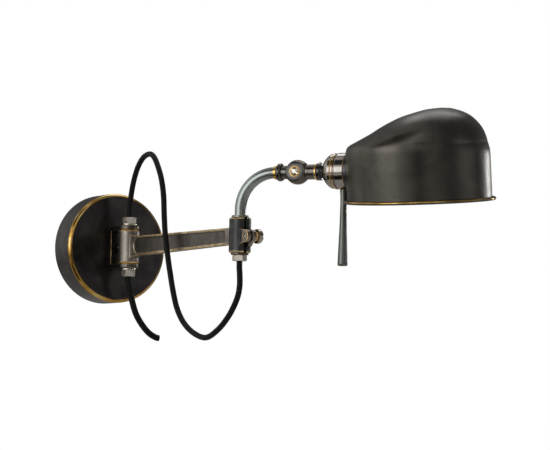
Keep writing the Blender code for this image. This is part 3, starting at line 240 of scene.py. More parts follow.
# %% The lamp's finishes
DARK_BRONZE = patina("oil rubbed bronze", "302e2e", "424040", "55504d", 0.3,
                     grain_depth_mm=0.008)
HOOD_BRONZE = patina("hood bronze", "4a4743", "585550", "67625b", 0.34, cloud_mm=40,
                     grain_depth_mm=0.004)
GUNMETAL = patina("gunmetal lacquer", "848b89", "979e9b", "a6adaa", 0.28, cloud_mm=35,
                  grain_depth_mm=0.001)
ROD_METAL = patina("gunmetal handle", "5c605c", "6c716c", "7a7f7a", 0.33, cloud_mm=35,
                   grain_depth_mm=0.006)
COLLAR_BLACK = patina("black nickel", "4c4947", "5e5a57", "716c67", 0.17, cloud_mm=10,
                      grain_depth_mm=0.003)
# The socket is polished, so it mirrors the room in hard bands of light and dark.
SOCKET_NICKEL = patina("polished black nickel", "8f8a86", "a49f9a", "b4afaa", 0.15, cloud_mm=20,
                       grain_depth_mm=0.001)
NICKEL = patina("worn nickel", "d2cbc1", "e0d9cf", "ece6dc", 0.24, cloud_mm=18,
                grain_depth_mm=0.002)
# Screw heads are turned by hand, which keeps them paler and smoother than what they sit in.
SCREW_STEEL = patina("handled screw steel", "a39c92", "bdb6ab", "d6cfc4", 0.2, cloud_mm=6,
                     grain_depth_mm=0.003)
# The knuckle's face is filed smooth, so it stays one even grey.
FILED_FACE = patina("filed bronze face", "5a5957", "6c6b68", "7c7a77", 0.3, cloud_mm=20,
                    grain_depth_mm=0.002)
EDGE_BRASS = rubbed("rubbed brass edge", "4e3a1c", "b08a48", "f0d6a0")
RIM_BRASS = rubbed("rubbed brass rim", "8a6a30", "c0964c", "f6d898", patch_mm=30, roughness=0.22)
EDGE_SOFT = rubbed("half rubbed edge", "3b3126", "8a6a36", "dcb468", share=0.55)
BRIGHT_BRASS = rubbed("polished brass", "a87a32", "d6a552", "ffe0a0", patch_mm=14, roughness=0.2,
                      share=0.42)
print(len(bpy.data.materials), "materials so far")


# %% [markdown]
# The rest isn't metal. Phenolic is a dark moulding with a faint mottle, the hood's inside is sprayed
# with a pale stove enamel that has a fine orange peel, and the glass is etched so that it glows evenly.

# %% Enamel, phenolic and glass
def mottled(name, first, second, roughness, size_mm, depth_mm, **constants):
    material, tree, shader = new_material(name, Roughness=roughness, **constants)
    place = add_node(tree, "ShaderNodeTexCoord").outputs["Object"]
    mottle = add_node(tree, "ShaderNodeTexNoise", {"Scale": 1000 / size_mm, "Detail": 3.0},
                      {"Vector": place})
    tone = add_node(tree, "ShaderNodeValToRGB", None, {"Fac": mottle.outputs["Fac"]})
    ramp_stops(tone, [(0.35, first), (0.65, second)])
    tree.links.new(tone.outputs["Color"], shader.inputs["Base Color"])
    bump = add_node(tree, "ShaderNodeBump", {"Strength": 0.4, "Distance": depth_mm * MM},
                    {"Height": mottle.outputs["Fac"]})
    tree.links.new(bump.outputs["Normal"], shader.inputs["Normal"])
    return material


HOOD_INSIDE = mottled("cream stove enamel", "d8d3c4", "e6e2d6", 0.42, 1.4, 0.04)
BLACK_LACQUER = mottled("black stoving lacquer", "0b0a0a", "131211", 0.22, 1.2, 0.01,
                        Coat_Weight=0.6, Coat_Roughness=0.08)
PHENOLIC = mottled("black phenolic", "151312", "221e1b", 0.42, 3.0, 0.02)
FLEX_PLAIN = mottled("black flex sheath", "0d0c0b", "191715", 0.6, 0.8, 0.05)
FROSTED_GLASS = mottled("frosted glass", "eceae4", "f4f2ec", 0.45, 0.6, 0.01,
                        Transmission_Weight=0.35)

# %% [markdown]
# ## Turning
#
# A turned piece starts as one point, is drawn out as a profile, and is spun round its line, as a lathe
# tool sweeps a bar. The spin is welded, its sharp corners are broken with a small bevel that carries
# the rubbed brass, and the result is put on its line. The object itself stays at the origin.

# %% Turn a profile
WELD = 0.01 * MM


def alone(piece):
    """Makes a piece the only selected and the active one."""
    bpy.ops.object.select_all(action="DESELECT")
    piece.select_set(True)
    bpy.context.view_layer.objects.active = piece


def put(piece, place):
    """Sets a piece made at the origin in its place, then moves that place into its mesh."""
    alone(piece)
    piece.matrix_world = place
    bpy.ops.object.transform_apply(location=True, rotation=True, scale=True)


def modified(piece, kind, **settings):
    """Adds a modifier with these settings and applies it."""
    alone(piece)
    modifier = piece.modifiers.new(kind, kind)
    for name, value in settings.items():
        setattr(modifier, name, value)
    bpy.ops.object.modifier_apply(modifier=modifier.name)


def smooth_faces(piece, angle=32):
    """Smooth shading up to an angle. Large faces rule the normals, so flat ones look flat."""
    alone(piece)
    bpy.ops.object.shade_smooth_by_angle(angle=math.radians(angle))
    modified(piece, "WEIGHTED_NORMAL", keep_sharp=True)


def break_edges(piece, width, segments=2, angle=28, material=1):
    """Bevels the sharp edges. The new faces take the material in that slot."""
    modified(piece, "BEVEL", width=width, segments=segments, limit_method="ANGLE",
             angle_limit=math.radians(angle), material=material)


def draw_profile(profile):
    """Leaves edit mode with a chain of points drawn in the XZ plane."""
    bpy.ops.object.select_all(action="DESELECT")
    bpy.ops.mesh.primitive_plane_add(size=MM, location=(0, 0, 0))
    bpy.ops.object.mode_set(mode="EDIT")
    bpy.ops.mesh.select_all(action="SELECT")
    bpy.ops.mesh.merge(type="CENTER")
    bpy.ops.transform.translate(value=(profile[0][0], 0, profile[0][1]))
    for before, after in zip(profile, profile[1:]):
        step = (after[0] - before[0], 0, after[1] - before[1])
        bpy.ops.mesh.extrude_vertices_move(TRANSFORM_OT_translate={"value": step})


def weld():
    """Joins the points that meet, turns the faces outward and leaves edit mode."""
    bpy.ops.mesh.select_all(action="SELECT")
    bpy.ops.mesh.remove_doubles(threshold=WELD)
    bpy.ops.mesh.normals_make_consistent(inside=False)
    bpy.ops.object.mode_set(mode="OBJECT")


def spun(name, profile, steps=64):
    """A profile spun once round the Z axis."""
    draw_profile(profile)
    bpy.ops.mesh.select_all(action="SELECT")
    bpy.ops.mesh.spin(steps=steps, angle=2 * math.pi, center=(0, 0, 0), axis=(0, 0, 1))
    weld()
    piece = bpy.context.active_object
    piece.name = name
    return piece


def paint(piece, materials):
    """Gives a piece its materials, with the first one on every face."""
    for material in materials:
        piece.data.materials.append(material)
    for face in piece.data.polygons:
        face.material_index = 0


def give_wall(piece, thickness, inner_slot=0):
    """Thickens a skin inward. The inner faces take a material that many slots further on."""
    modified(piece, "SOLIDIFY", thickness=thickness, offset=-1, material_offset=inner_slot)


def turned(name, profile, place, materials, body, stands_for=(), steps=72, ring=False, edge=0.35,
           segments=2):
    """A turned piece. The profile holds (radius, height) in metres; a ring's profile is closed."""
    piece = spun(name, list(profile) + [profile[0]] if ring else list(profile), steps)
    paint(piece, materials)
    if edge:
        break_edges(piece, edge * MM, segments, material=len(materials) - 1)
    put(piece, place)
    smooth_faces(piece)
    return settle(piece, body, stands_for)


def settle(piece, body, stands_for=()):
    """Hangs a piece on its body's empty and hides the CAD pieces it stands for."""
    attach(piece, body)
    if stands_for:
        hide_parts(*stands_for)
    return piece


def rounded(corner, radius, start, end, count=6):
    """Points on an arc about a corner's centre, from one angle in degrees to another."""
    return [(corner[0] + radius * math.cos(math.radians(start + (end - start) * i / count)),
             corner[1] + radius * math.sin(math.radians(start + (end - start) * i / count)))
            for i in range(count + 1)]

# %% [markdown]
# ## The flex
#
# Old lamps are wired with a flex in a black woven sleeve. The sleeve is braided from two sets of yarns
# that cross over each other round the core, which shows as a fine diamond pattern with a soft sheen,
# and almost no gloss. The pattern follows the cord, so it reads the cord's own UV map, in which U goes
# once round and V runs on in cord widths. The yarns are drawn about 1 mm wide, a little coarser than
# real ones, because finer ones would not show.

# %% Woven sleeve
def woven_sleeve(name, dark, light):
    material, tree, shader = new_material(name, Roughness=0.55, Specular_IOR_Level=0.18,
                                          Sheen_Weight=0.03, Sheen_Roughness=0.4)
    along_cord = add_node(tree, "ShaderNodeUVMap", {"uv_map": "UVMap"}).outputs["UV"]
    split = add_node(tree, "ShaderNodeSeparateXYZ", None, {"Vector": along_cord})
    yarns = []
    for lean in (1.0, -1.0):
        turns = add_node(tree, "ShaderNodeMath", {"operation": "MULTIPLY_ADD", 1: 8.0 * lean},
                         {0: split.outputs["X"], 2: split.outputs["Y"]})
        wave = add_node(tree, "ShaderNodeMath", {"operation": "MULTIPLY", 1: 2 * math.pi},
                        {0: turns.outputs[0]})
        yarns.append(add_node(tree, "ShaderNodeMath", {"operation": "SINE"}, {0: wave.outputs[0]}))
    crossing = add_node(tree, "ShaderNodeMath", {"operation": "MAXIMUM"},
                        {0: yarns[0].outputs[0], 1: yarns[1].outputs[0]})
    shade_of = add_node(tree, "ShaderNodeValToRGB", None, {"Fac": crossing.outputs[0]})
    ramp_stops(shade_of, [(0.1, dark), (0.95, light)])
    tree.links.new(shade_of.outputs["Color"], shader.inputs["Base Color"])
    bump = add_node(tree, "ShaderNodeBump", {"Strength": 0.6, "Distance": 0.25 * MM},
                    {"Height": crossing.outputs[0]})
    tree.links.new(bump.outputs["Normal"], shader.inputs["Normal"])
    return material


FLEX_SLEEVE = woven_sleeve("black cotton braid", "030303", "12100f")

# %% [markdown]
# The loop leaves the gland nut under the clamp, hangs below the arm, climbs past it on the near side
# and goes down into the hinge pin from above. It has to be long enough to let the arm and the tube
# turn. Its route is given by points in millimetres from the hinge axis, and a smooth curve runs
# through them. The tail comes out of the bottom of the pin, where it is pushed on to the house wiring.

# %% Routes of the flex
LOOP_ROUTE = ((0, -247, -27.7), (0, -247.1, -34.5), (0, -248.2, -43), (-0.6, -249.4, -53.5),
              (-2, -248.7, -64.3), (-4, -244.2, -75.5), (-6, -235.6, -87.1), (-8.5, -220.5, -99.7),
              (-10.5, -198.7, -108.4), (-12, -175.3, -103.7), (-13, -154.6, -92.4),
              (-13.4, -139.9, -77.2), (-13.6, -130.6, -59.3), (-13.6, -122.2, -36.8),
              (-13.6, -115.2, -15.4), (-13.4, -108.4, 8.7), (-13, -104.5, 29.8),
              (-12, -100.3, 51.5), (-10.8, -92.8, 70.1), (-9.4, -81.8, 85.7), (-8, -69.6, 97.7),
              (-6.4, -56.3, 102.8), (-4.6, -38.4, 100.5), (-2.8, -22.6, 90.8), (-1.4, -11.2, 76.7),
              (-0.5, -4.1, 61.6), (-0.1, -1, 49), (0, 0, 41), (0, 0, 34.4))
TAIL_ROUTE = ((0, 0, -31), (0, 0, -34.1), (0.2, 0, -38), (1.8, -0.4, -46.5), (5.3, -1, -61.8),
              (10.4, -2, -77), (18.1, -3, -89.2), (26.7, -4, -98.3), (35.1, -5, -103.1),
              (39, -5.4, -103.8))
LOOP_RADIUS = 3.15 * MM
TAIL_RADIUS = 3.6 * MM


def smooth_line(route, spacing=1.5 * MM):
    """Evenly spaced points on a smooth curve through a route's points."""
    points = [hinge_at + Vector(point) * MM for point in route]
    ends = [2 * points[0] - points[1]] + points + [2 * points[-1] - points[-2]]
    fine = []
    for a, b, c, d in zip(ends, ends[1:], ends[2:], ends[3:]):
        steps = max(2, round((c - b).length / spacing))
        for i in range(steps):
            t = i / steps
            fine.append(0.5 * (2 * b + (c - a) * t + (2 * a - 5 * b + 4 * c - d) * t * t
                               + (3 * b - a - 3 * c + d) * t ** 3))
    return fine + [points[-1]]


# %% Sweep a cord
def flex(name, line, radius, body, stands_for, sides=24):
    """A round cord swept along a line, with UVs that run round it and along it."""
    side = Vector((1, 0, 0))
    verts, uvs, travelled = [], [], 0.0
    for i, point in enumerate(line):
        along = (line[min(i + 1, len(line) - 1)] - line[max(i - 1, 0)]).normalized()
        side = (side - along * side.dot(along)).normalized()
        other = along.cross(side)
        travelled += (point - line[i - 1]).length if i else 0
        for j in range(sides + 1):
            angle = 2 * math.pi * j / sides
            uvs.append((j / sides, travelled / (2.2 * radius)))
            if j < sides:
                verts.append(point + radius * (side * math.cos(angle) + other * math.sin(angle)))
    faces, corners = [], []
    for i in range(len(line) - 1):
        for j in range(sides):
            a, b = i * sides + j, i * sides + (j + 1) % sides
            faces.append((a, b, b + sides, a + sides))
            corner = i * (sides + 1) + j
            corners += [corner, corner + 1, corner + sides + 2, corner + sides + 1]
    last = (len(line) - 1) * sides
    faces += [tuple(range(sides))[::-1], tuple(range(last, last + sides))]
    corners += [0] * (2 * sides)
    mesh = bpy.data.meshes.new(name)
    mesh.from_pydata(verts, [], faces)
    layer = mesh.uv_layers.new(name="UVMap")
    for loop, corner in zip(layer.data, corners):
        loop.uv = uvs[corner]
    cord = bpy.data.objects.new(name, mesh)
    bpy.context.scene.collection.objects.link(cord)
    cord.data.materials.append(FLEX_SLEEVE)
    smooth_faces(cord, 50)
    settle(cord, body, stands_for)
    return travelled


loop_line = smooth_line(LOOP_ROUTE)
tail_line = smooth_line(TAIL_ROUTE)
loop_length = flex("flex_loop", loop_line, LOOP_RADIUS, "arm", ("cord_loop",))
tail_length = flex("flex_tail", tail_line, TAIL_RADIUS, "wall_side", ("cord_tail",))
print("loop", round(loop_length, 3), "m and tail", round(tail_length, 3), "m")

# %% [markdown]
# ## The wall plate
#
# The canopy is a cup spun from sheet brass, 127 mm across, with a soft rounded front edge. That edge
# is the first thing a hand touches, so the patina has gone from all of it. One profile drawn from the
# bolt hole round the edge to the rim and back inside makes the cup, walls and all. The faces on the
# rounding are then given the brass.

# %% Spin the wall plate
_, plate_depth, plate_radius = sized("backplate_canopy", WALL_LINE)
EDGE_ROUND = 5.0 * MM
SHEET = 1.6 * MM
corner = (plate_radius - EDGE_ROUND, plate_depth - EDGE_ROUND)
plate_profile = [(3.3 * MM, plate_depth)] + rounded(corner, EDGE_ROUND, 90, 0, 12)
plate_profile += [(plate_radius, 0), (plate_radius - SHEET, 0)]
plate_profile += rounded(corner, EDGE_ROUND - SHEET, 0, 90, 8) + [(3.3 * MM, plate_depth - SHEET)]
plate = turned("wall_plate", plate_profile, WALL_LINE, [DARK_BRONZE, RIM_BRASS], "wall_side",
               ("backplate_canopy",), steps=128, ring=True, edge=0.25)
for face in plate.data.polygons:
    centre = WALL_LINE.inverted() @ face.center
    reach = math.hypot(centre.x, centre.y)
    if reach > plate_radius - 3.6 * MM and centre.z > plate_depth - 3.8 * MM:
        face.material_index = 1
print("wall plate", len(plate.data.polygons), "faces")

# %% [markdown]
# ## Cutting and nuts
#
# Slots and bores are cut with a Boolean, as a saw or drill would, and the cutter is thrown away. A
# nut is a six-sided bar whose two ends are turned to a cone, which leaves the curved chamfers on its
# corners that the light catches.

# %% Cutters and nuts
def boolean(piece, cutter, operation="DIFFERENCE"):
    modified(piece, "BOOLEAN", operation=operation, solver="EXACT", object=cutter)
    bpy.data.objects.remove(cutter)


def bar_of(radius, start, end, sides=48):
    """A plain bar along Z, to cut with or to cut from."""
    bpy.ops.object.select_all(action="DESELECT")
    bpy.ops.mesh.primitive_cylinder_add(vertices=sides, radius=radius, depth=end - start,
                                        location=(0, 0, (start + end) / 2))
    bpy.ops.object.transform_apply(location=True, rotation=True, scale=True)
    return bpy.context.active_object


def block_of(size, middle):
    bpy.ops.object.select_all(action="DESELECT")
    bpy.ops.mesh.primitive_cube_add(size=1, location=middle)
    block = bpy.context.active_object
    block.scale = size
    bpy.ops.object.transform_apply(location=True, rotation=True, scale=True)
    return block


def hex_nut(name, node, line, bore, turn, body):
    start, end, corner = sized(node, line)
    flat = corner * math.cos(math.pi / 6)
    nut = bar_of(corner, start, end, 6)
    nut.name = name
    rise = (corner - flat) * 0.65
    chamfers = spun("chamfers", [(0, start), (flat * 0.985, start), (corner, start + rise),
                                 (corner, end - rise), (flat * 0.985, end), (0, end)])
    boolean(nut, chamfers, "INTERSECT")
    boolean(nut, bar_of(bore, start - MM, end + MM))
    paint(nut, (NICKEL, RIM_BRASS))
    break_edges(nut, 0.5 * MM, 2, 20)
    put(nut, line @ Matrix.Rotation(math.radians(turn), 4, "Z"))
    smooth_faces(nut, 30)
    return settle(nut, body, (node,))


hex_nut("hinge_nut_top", "hinge_nut_upper", HINGE_LINE, 5.4 * MM, 10, "wall_side")
hex_nut("hinge_nut_bottom", "hinge_nut_lower", HINGE_LINE, 5.4 * MM, 10, "wall_side")
hex_nut("clamp_gland_nut", "tube_gland_nut", CLAMP_LINE, 5.0 * MM, -8, "tube")
print("three nuts")

# %% [markdown]
# ## The hinge's turned hardware
#
# A hollow pin runs through the clevis, and a polished collar sits between each lug and its nut. The
# collars are dished a little and kept bright, so they flash against the dark lugs.

# %% Pin and collars
def ring_profile(inner, outer, start, end):
    return [(outer, start), (outer, end), (inner, end), (inner, start)]


start, end, outer = sized("hinge_pin", HINGE_LINE)
turned("hinge_pin_tube", ring_profile(3.9 * MM, outer, start, end), HINGE_LINE,
       [NICKEL, EDGE_BRASS], "wall_side", ("hinge_pin",), ring=True)
for side in ("upper", "lower"):
    start, end, outer = sized("hinge_collar_" + side, HINGE_LINE)
    middle = (start + end) / 2
    profile = [(5.4 * MM, start), (outer - 0.9 * MM, start), (outer - 0.15 * MM, start + 0.5 * MM),
               (outer, middle), (outer - 0.15 * MM, end - 0.5 * MM), (outer - 0.9 * MM, end),
               (5.4 * MM, end)]
    turned("hinge_dished_collar_" + side, profile, HINGE_LINE, [NICKEL, NICKEL], "wall_side",
           ("hinge_collar_" + side,), ring=True, edge=0)
print("pin and two collars")

# %% [markdown]
# ## Castings
#
# The clevis, the arm and the knuckle are cast and then filed by hand, so no edge on them is sharp.
# The CAD solid already has their shape. A merged copy of it is remeshed into small even cells and
# relaxed, which rounds every edge and fills every inner corner as a casting's would be. Then the
# bend of the surface at each point is stored as an attribute: high on outer edges, where the patina
# wears through, and low in corners, which the material draws darker.

# %% Make a casting from the CAD solid
def points_of(mesh, what="co"):
    """The place or the normal of every point of a mesh."""
    values = np.empty(len(mesh.vertices) * 3)
    mesh.vertices.foreach_get(what, values)
    return values.reshape(-1, 3)


def store(mesh, name, values):
    """Keeps one number for each point, for a material to read."""
    mesh.attributes.new(name, "FLOAT", "POINT").data.foreach_set("value", values)


def bend_of(mesh, passes):
    """How far each point stands proud of its neighbours, spread a little, in parts of a cell."""
    count = len(mesh.vertices)
    points, normals = points_of(mesh), points_of(mesh, "normal")
    ends = np.empty(len(mesh.edges) * 2, np.int32)
    mesh.edges.foreach_get("vertices", ends)
    a, b = ends.reshape(-1, 2).T
    number = np.bincount(a, minlength=count) + np.bincount(b, minlength=count)

    def average(values):
        total = np.bincount(a, values[b], count) + np.bincount(b, values[a], count)
        return total / np.maximum(number, 1)

    middle = np.stack([average(points[:, i]) for i in range(3)], axis=1)
    cell = np.linalg.norm(points[a] - points[b], axis=1).mean()
    bend = ((points - middle) * normals).sum(axis=1) / cell
    for _ in range(passes):
        bend = 0.5 * bend + 0.5 * average(bend)
    return bend


def casting(name, node, body, material, cell_mm=0.5, relax=8, spread=2,
            sharp_free=None):
    piece = bpy.data.objects.new(name, frame["nodes"][node].data.copy())
    bpy.context.scene.collection.objects.link(piece)
    piece.data.materials.clear()
    alone(piece)
    bpy.ops.object.mode_set(mode="EDIT")
    bpy.ops.mesh.select_all(action="SELECT")
    bpy.ops.mesh.remove_doubles(threshold=0.001 * MM)
    bpy.ops.object.mode_set(mode="OBJECT")
    modified(piece, "REMESH", mode="VOXEL", voxel_size=cell_mm * MM)
    modified(piece, "SMOOTH", iterations=relax, factor=0.5)
    bend = bend_of(piece.data, spread)
    if sharp_free:
        bend = np.where(sharp_free(piece.data), 0.0, bend)
    store(piece.data, "wear", bend)
    piece.data.materials.append(material)
    bpy.ops.object.shade_smooth()
    print(name, len(piece.data.polygons), "faces, bend", [round(x, 3) for x in
                                                         np.percentile(bend, (1, 50, 90, 99))])
    return settle(piece, body, (node,))


# %% [markdown]
# The finish of a casting is the patina recipe with two things laid over it. Where the bend is high,
# brass shows, broken up by a noise so that it comes and goes along the edge. Where the bend is low,
# the colour darkens. The panel in the arm's sides and the clamp round its bore each have a darker
# tone, kept in an attribute of their own.

# %% Worn casting
def worn_casting(name, dark, mid, pale, brass, bright, low, high, roughness=0.36):
    material = patina(name, dark, mid, pale, roughness, cloud_mm=14, grain_mm=0.9,
                      grain_depth_mm=0.015)
    tree = material.node_tree
    shader = tree.nodes["Principled BSDF"]
    body_colour = shader.inputs["Base Color"].links[0].from_socket
    place = add_node(tree, "ShaderNodeTexCoord").outputs["Object"]
    wear = add_node(tree, "ShaderNodeAttribute", {"attribute_name": "wear"}).outputs["Fac"]
    panel = add_node(tree, "ShaderNodeAttribute", {"attribute_name": "panel"}).outputs["Fac"]
    recess = add_node(tree, "ShaderNodeMix", {"data_type": "RGBA", "blend_type": "MULTIPLY",
                                              7: linear("b4b5b8")}, {0: panel, 6: body_colour})
    # The clamp's points are drawn darker and bluer, by their own attribute.
    clamp = add_node(tree, "ShaderNodeAttribute", {"attribute_name": "clamp"}).outputs["Fac"]
    recess = add_node(tree, "ShaderNodeMix", {"data_type": "RGBA", "blend_type": "MULTIPLY",
                                              7: linear("7f8890")}, {0: clamp,
                                                                     6: recess.outputs[2]})
    patches = add_node(tree, "ShaderNodeTexNoise", {"Scale": 1000 / 7.0, "Detail": 4.0},
                       {"Vector": place})
    broken = add_node(tree, "ShaderNodeMath", {"operation": "MULTIPLY_ADD", 1: 0.5 * (high - low),
                                               2: -0.25 * (high - low)},
                      {0: patches.outputs["Fac"]})
    raised = add_node(tree, "ShaderNodeMath", {"operation": "ADD"},
                      {0: wear, 1: broken.outputs[0]})
    share = add_node(tree, "ShaderNodeMapRange", {"From Min": low, "From Max": high},
                     {"Value": raised.outputs[0]})
    metal = add_node(tree, "ShaderNodeValToRGB", None, {"Fac": patches.outputs["Fac"]})
    ramp_stops(metal, [(0.35, brass), (0.65, bright)])
    worn = add_node(tree, "ShaderNodeMix", {"data_type": "RGBA"},
                    {0: share.outputs["Result"], 6: recess.outputs[2], 7: metal.outputs["Color"]})
    # Points in corners, where the bend is low, are drawn darker, down to 0.45 of their colour.
    corner = add_node(tree, "ShaderNodeMapRange", {"From Min": -high, "From Max": -low,
                                                   "To Min": 0.45, "To Max": 1.0},
                      {"Value": wear})
    darker_in_corners = add_node(tree, "ShaderNodeMix", {"data_type": "RGBA", "blend_type": "MULTIPLY", 0: 1.0},
                    {6: worn.outputs[2], 7: corner.outputs["Result"]})
    tree.links.new(darker_in_corners.outputs[2], shader.inputs["Base Color"])
    return material


CLEVIS_BRONZE = worn_casting("worn forged bronze", "4a4744", "5f5b57", "78726b", "a07a3c",
                             "e8c98c", 0.05, 0.1, 0.3)
ARM_BRONZE = worn_casting("worn cast bronze", "746e68", "8b847c", "a39b91", "c8a05a", "ffe6b0",
                          0.03, 0.075)
KNUCKLE_BRONZE = worn_casting("filed cast bronze", "4a4744", "66625d", "85807a", "a8844a",
                              "f0d8a4", 0.05, 0.1, 0.24)

# %% The clevis, the arm and the knuckle's two halves
casting("forged_clevis", "hinge_bracket", "wall_side", CLEVIS_BRONZE, 0.4, 5)


def in_the_split(mesh):
    """Points on the lips of the clamp's saw cut, which nobody's hand reaches."""
    x, y, _ = points_of(mesh).T
    return (np.abs(x) < 1.9 * MM) & (y < clamp_at.y - 4 * MM)


arm = casting("swing_arm", "arm_casting", "arm", ARM_BRONZE, 0.6, 4,
              sharp_free=in_the_split)
casting("knuckle_near_cheek", "knuckle_near_half", "tube", KNUCKLE_BRONZE,
        0.3, 8)
casting("knuckle_far_cheek", "knuckle_far_half", "tilt_stem", KNUCKLE_BRONZE,
        0.3, 8)

# %% Mark the panel in the arm's sides and the darker clamp
ARM_HALF_THICKNESS = 4.5 * MM
PANEL_DEPTH = 1.0 * MM
points = points_of(arm.data)
depth = (ARM_HALF_THICKNESS - np.abs(points[:, 0])) / PANEL_DEPTH
along = hinge_at.y - points[:, 1]
inside = (along > 16 * MM) & (along < 226 * MM) & (np.abs(points[:, 2]) < 12 * MM)
panel = np.clip((depth - 0.35) / 0.4, 0, 1) * inside * (np.abs(points[:, 0]) > 2 * MM)
from_clamp = np.hypot(points[:, 0], points[:, 1] - clamp_at.y)
# Points within 13 mm of the clamp's axis are drawn darker, fading out by 17 mm.
clamp_darkening = np.clip((17 * MM - from_clamp) / (4 * MM), 0, 1)
store(arm.data, "panel", panel)
store(arm.data, "clamp", clamp_darkening)
print("panel points:", int((panel > 0.5).sum()), "clamp points:", int((clamp_darkening > 0.5).sum()))

# %% [markdown]
# ## Screws
#
# Each screw has a domed head with a sawn slot. It is turned as one profile, slotted with a block, and
# its edges are broken, so the slot's lips catch the light as thin brass lines. The knuckle's face is a
# shallow dome of its own, with a fine brass ring round its screw.

# %% Slotted screws
def slotted_screw(name, node, line, profile, slot_width, slot_depth, top, turn, materials, body):
    screw = spun(name, profile)
    saw = block_of((60 * MM, slot_width, 2 * slot_depth), (0, 0, top))
    saw.rotation_euler = (0, 0, math.radians(turn))
    boolean(screw, saw)
    paint(screw, materials)
    break_edges(screw, 0.25 * MM, 2, 30)
    put(screw, line)
    smooth_faces(screw, 30)
    return settle(screw, body, (node,))


def dome_profile(radius, foot, shoulder, top, shank, tail):
    """A domed head on a shank, from the middle of the dome to the end of the shank."""
    dome = [(radius * math.sin(math.radians(a)), shoulder + (top - shoulder)
             * math.cos(math.radians(a))) for a in range(0, 91, 9)]
    return dome + [(radius, foot), (shank, foot), (shank, tail), (0, tail)]


start, end, radius = sized("clamp_screw", SCREW_LINE)
slotted_screw("clamp_slotted_screw", "clamp_screw", SCREW_LINE,
              dome_profile(radius, end - 7.4 * MM, end - 4.6 * MM, end, 2.4 * MM, start),
              1.8 * MM, 3.4 * MM, end, 90, [SCREW_STEEL, BRIGHT_BRASS], "clamp_knob")
start, end, radius = sized("clamp_screw_washer", SCREW_LINE)
middle = (start + end) / 2
turned("clamp_screw_boss", [(2.6 * MM, start), (radius, start), (radius, middle - 0.3 * MM),
                            (radius - 0.5 * MM, middle), (radius, middle + 0.3 * MM),
                            (radius, end), (2.6 * MM, end)],
       SCREW_LINE, [COLLAR_BLACK, BRIGHT_BRASS], "arm", ("clamp_screw_washer",), ring=True)
_, face, _ = sized("knuckle_near_half", KNUCKLE_LINE)
start, end, radius = sized("knuckle_screw", KNUCKLE_LINE)
print("knuckle face at", round(face / MM, 2), "mm, screw ends at", round(end / MM, 2), "mm")
dome = [(0, face - 0.6 * MM), (10.9 * MM, face - 0.6 * MM), (10.9 * MM, face + 0.1 * MM)]
for height, reach in ((0.7, 10.2), (1.15, 9.0), (1.5, 7.4), (1.75, 5.6), (1.85, 4.0)):
    dome.append((reach * MM, face + height * MM))
turned("knuckle_domed_face", dome + [(0, face + 1.9 * MM)], KNUCKLE_LINE,
       [FILED_FACE, EDGE_SOFT], "tube", (), edge=0.2)
slotted_screw("knuckle_slotted_screw", "knuckle_screw", KNUCKLE_LINE,
              dome_profile(radius, end - 3.0 * MM, end - 2.0 * MM, end, 2.4 * MM, start),
              1.4 * MM, 1.0 * MM, end, 55, [SCREW_STEEL, BRIGHT_BRASS], "tube")
seat = face + 1.6 * MM
turned("knuckle_screw_ring", ring_profile(radius - 0.4 * MM, radius + 0.7 * MM, seat,
                                          seat + 0.7 * MM),
       KNUCKLE_LINE, [RIM_BRASS, RIM_BRASS], "tube", (), ring=True, edge=0.2)
print("screws")

# %% [markdown]
# ## The bent tube
#
# The gooseneck is a drawn tube bent through a right angle. A circle is extruded up the straight
# stretch and spun round the bend's centre, as a tube bender does it, and the wall is added last.

# %% Bend the tube
tube_radius = 6.1 * MM
BEND_RADIUS = 39 * MM
tube_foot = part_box("gooseneck_tube")[0][2]
socket_height = knuckle_at.z
bpy.ops.object.select_all(action="DESELECT")
bpy.ops.mesh.primitive_circle_add(vertices=64, radius=tube_radius, location=(0, 0, tube_foot))
bpy.ops.object.transform_apply(location=True, rotation=True, scale=True)
gooseneck = bpy.context.active_object
gooseneck.name = "bent_tube"
bpy.ops.object.mode_set(mode="EDIT")
bpy.ops.mesh.select_all(action="SELECT")
bpy.ops.mesh.extrude_region_move(
    TRANSFORM_OT_translate={"value": (0, 0, socket_height - BEND_RADIUS - tube_foot)})
bpy.ops.mesh.spin(steps=40, angle=-math.pi / 2, axis=(0, 1, 0),
                  center=(BEND_RADIUS, 0, socket_height - BEND_RADIUS))
bpy.ops.mesh.extrude_region_move(TRANSFORM_OT_translate={"value": (3 * MM, 0, 0)})
weld()
print("tube box", [round(x / MM, 1) for x in gooseneck.dimensions], "mm")

# %% Give the tube its wall and its place
give_wall(gooseneck, 1.1 * MM)
paint(gooseneck, [GUNMETAL])
turn = math.atan2(socket_way.y, socket_way.x)
put(gooseneck, upright((clamp_at.x, clamp_at.y, 0)) @ Matrix.Rotation(turn, 4, "Z"))
smooth_faces(gooseneck, 40)
settle(gooseneck, "tube", ("gooseneck_tube",))
print("bent tube placed")

# %% [markdown]
# ## Rings on the tube and the socket
#
# All of these are lathe work: the ring on the clamp, the washer and ferrule, the bead collar, the
# bright ring on the stem, the black collar, and then the spun cap with its steps and the deep band.

# %% Rings at the clamp
start, end, radius = sized("tube_top_ring", CLAMP_LINE)
turned("clamp_top_ring", ring_profile(6.4 * MM, radius, start, end), CLAMP_LINE,
       [GUNMETAL, EDGE_SOFT], "tube", ("tube_top_ring",), ring=True, edge=0.6, segments=4)
start, end, radius = sized("tube_washer", CLAMP_LINE)
turned("clamp_under_washer", ring_profile(5.1 * MM, radius, start, end), CLAMP_LINE,
       [COLLAR_BLACK, EDGE_BRASS], "tube", ("tube_washer",), ring=True)
print("rings at the clamp")

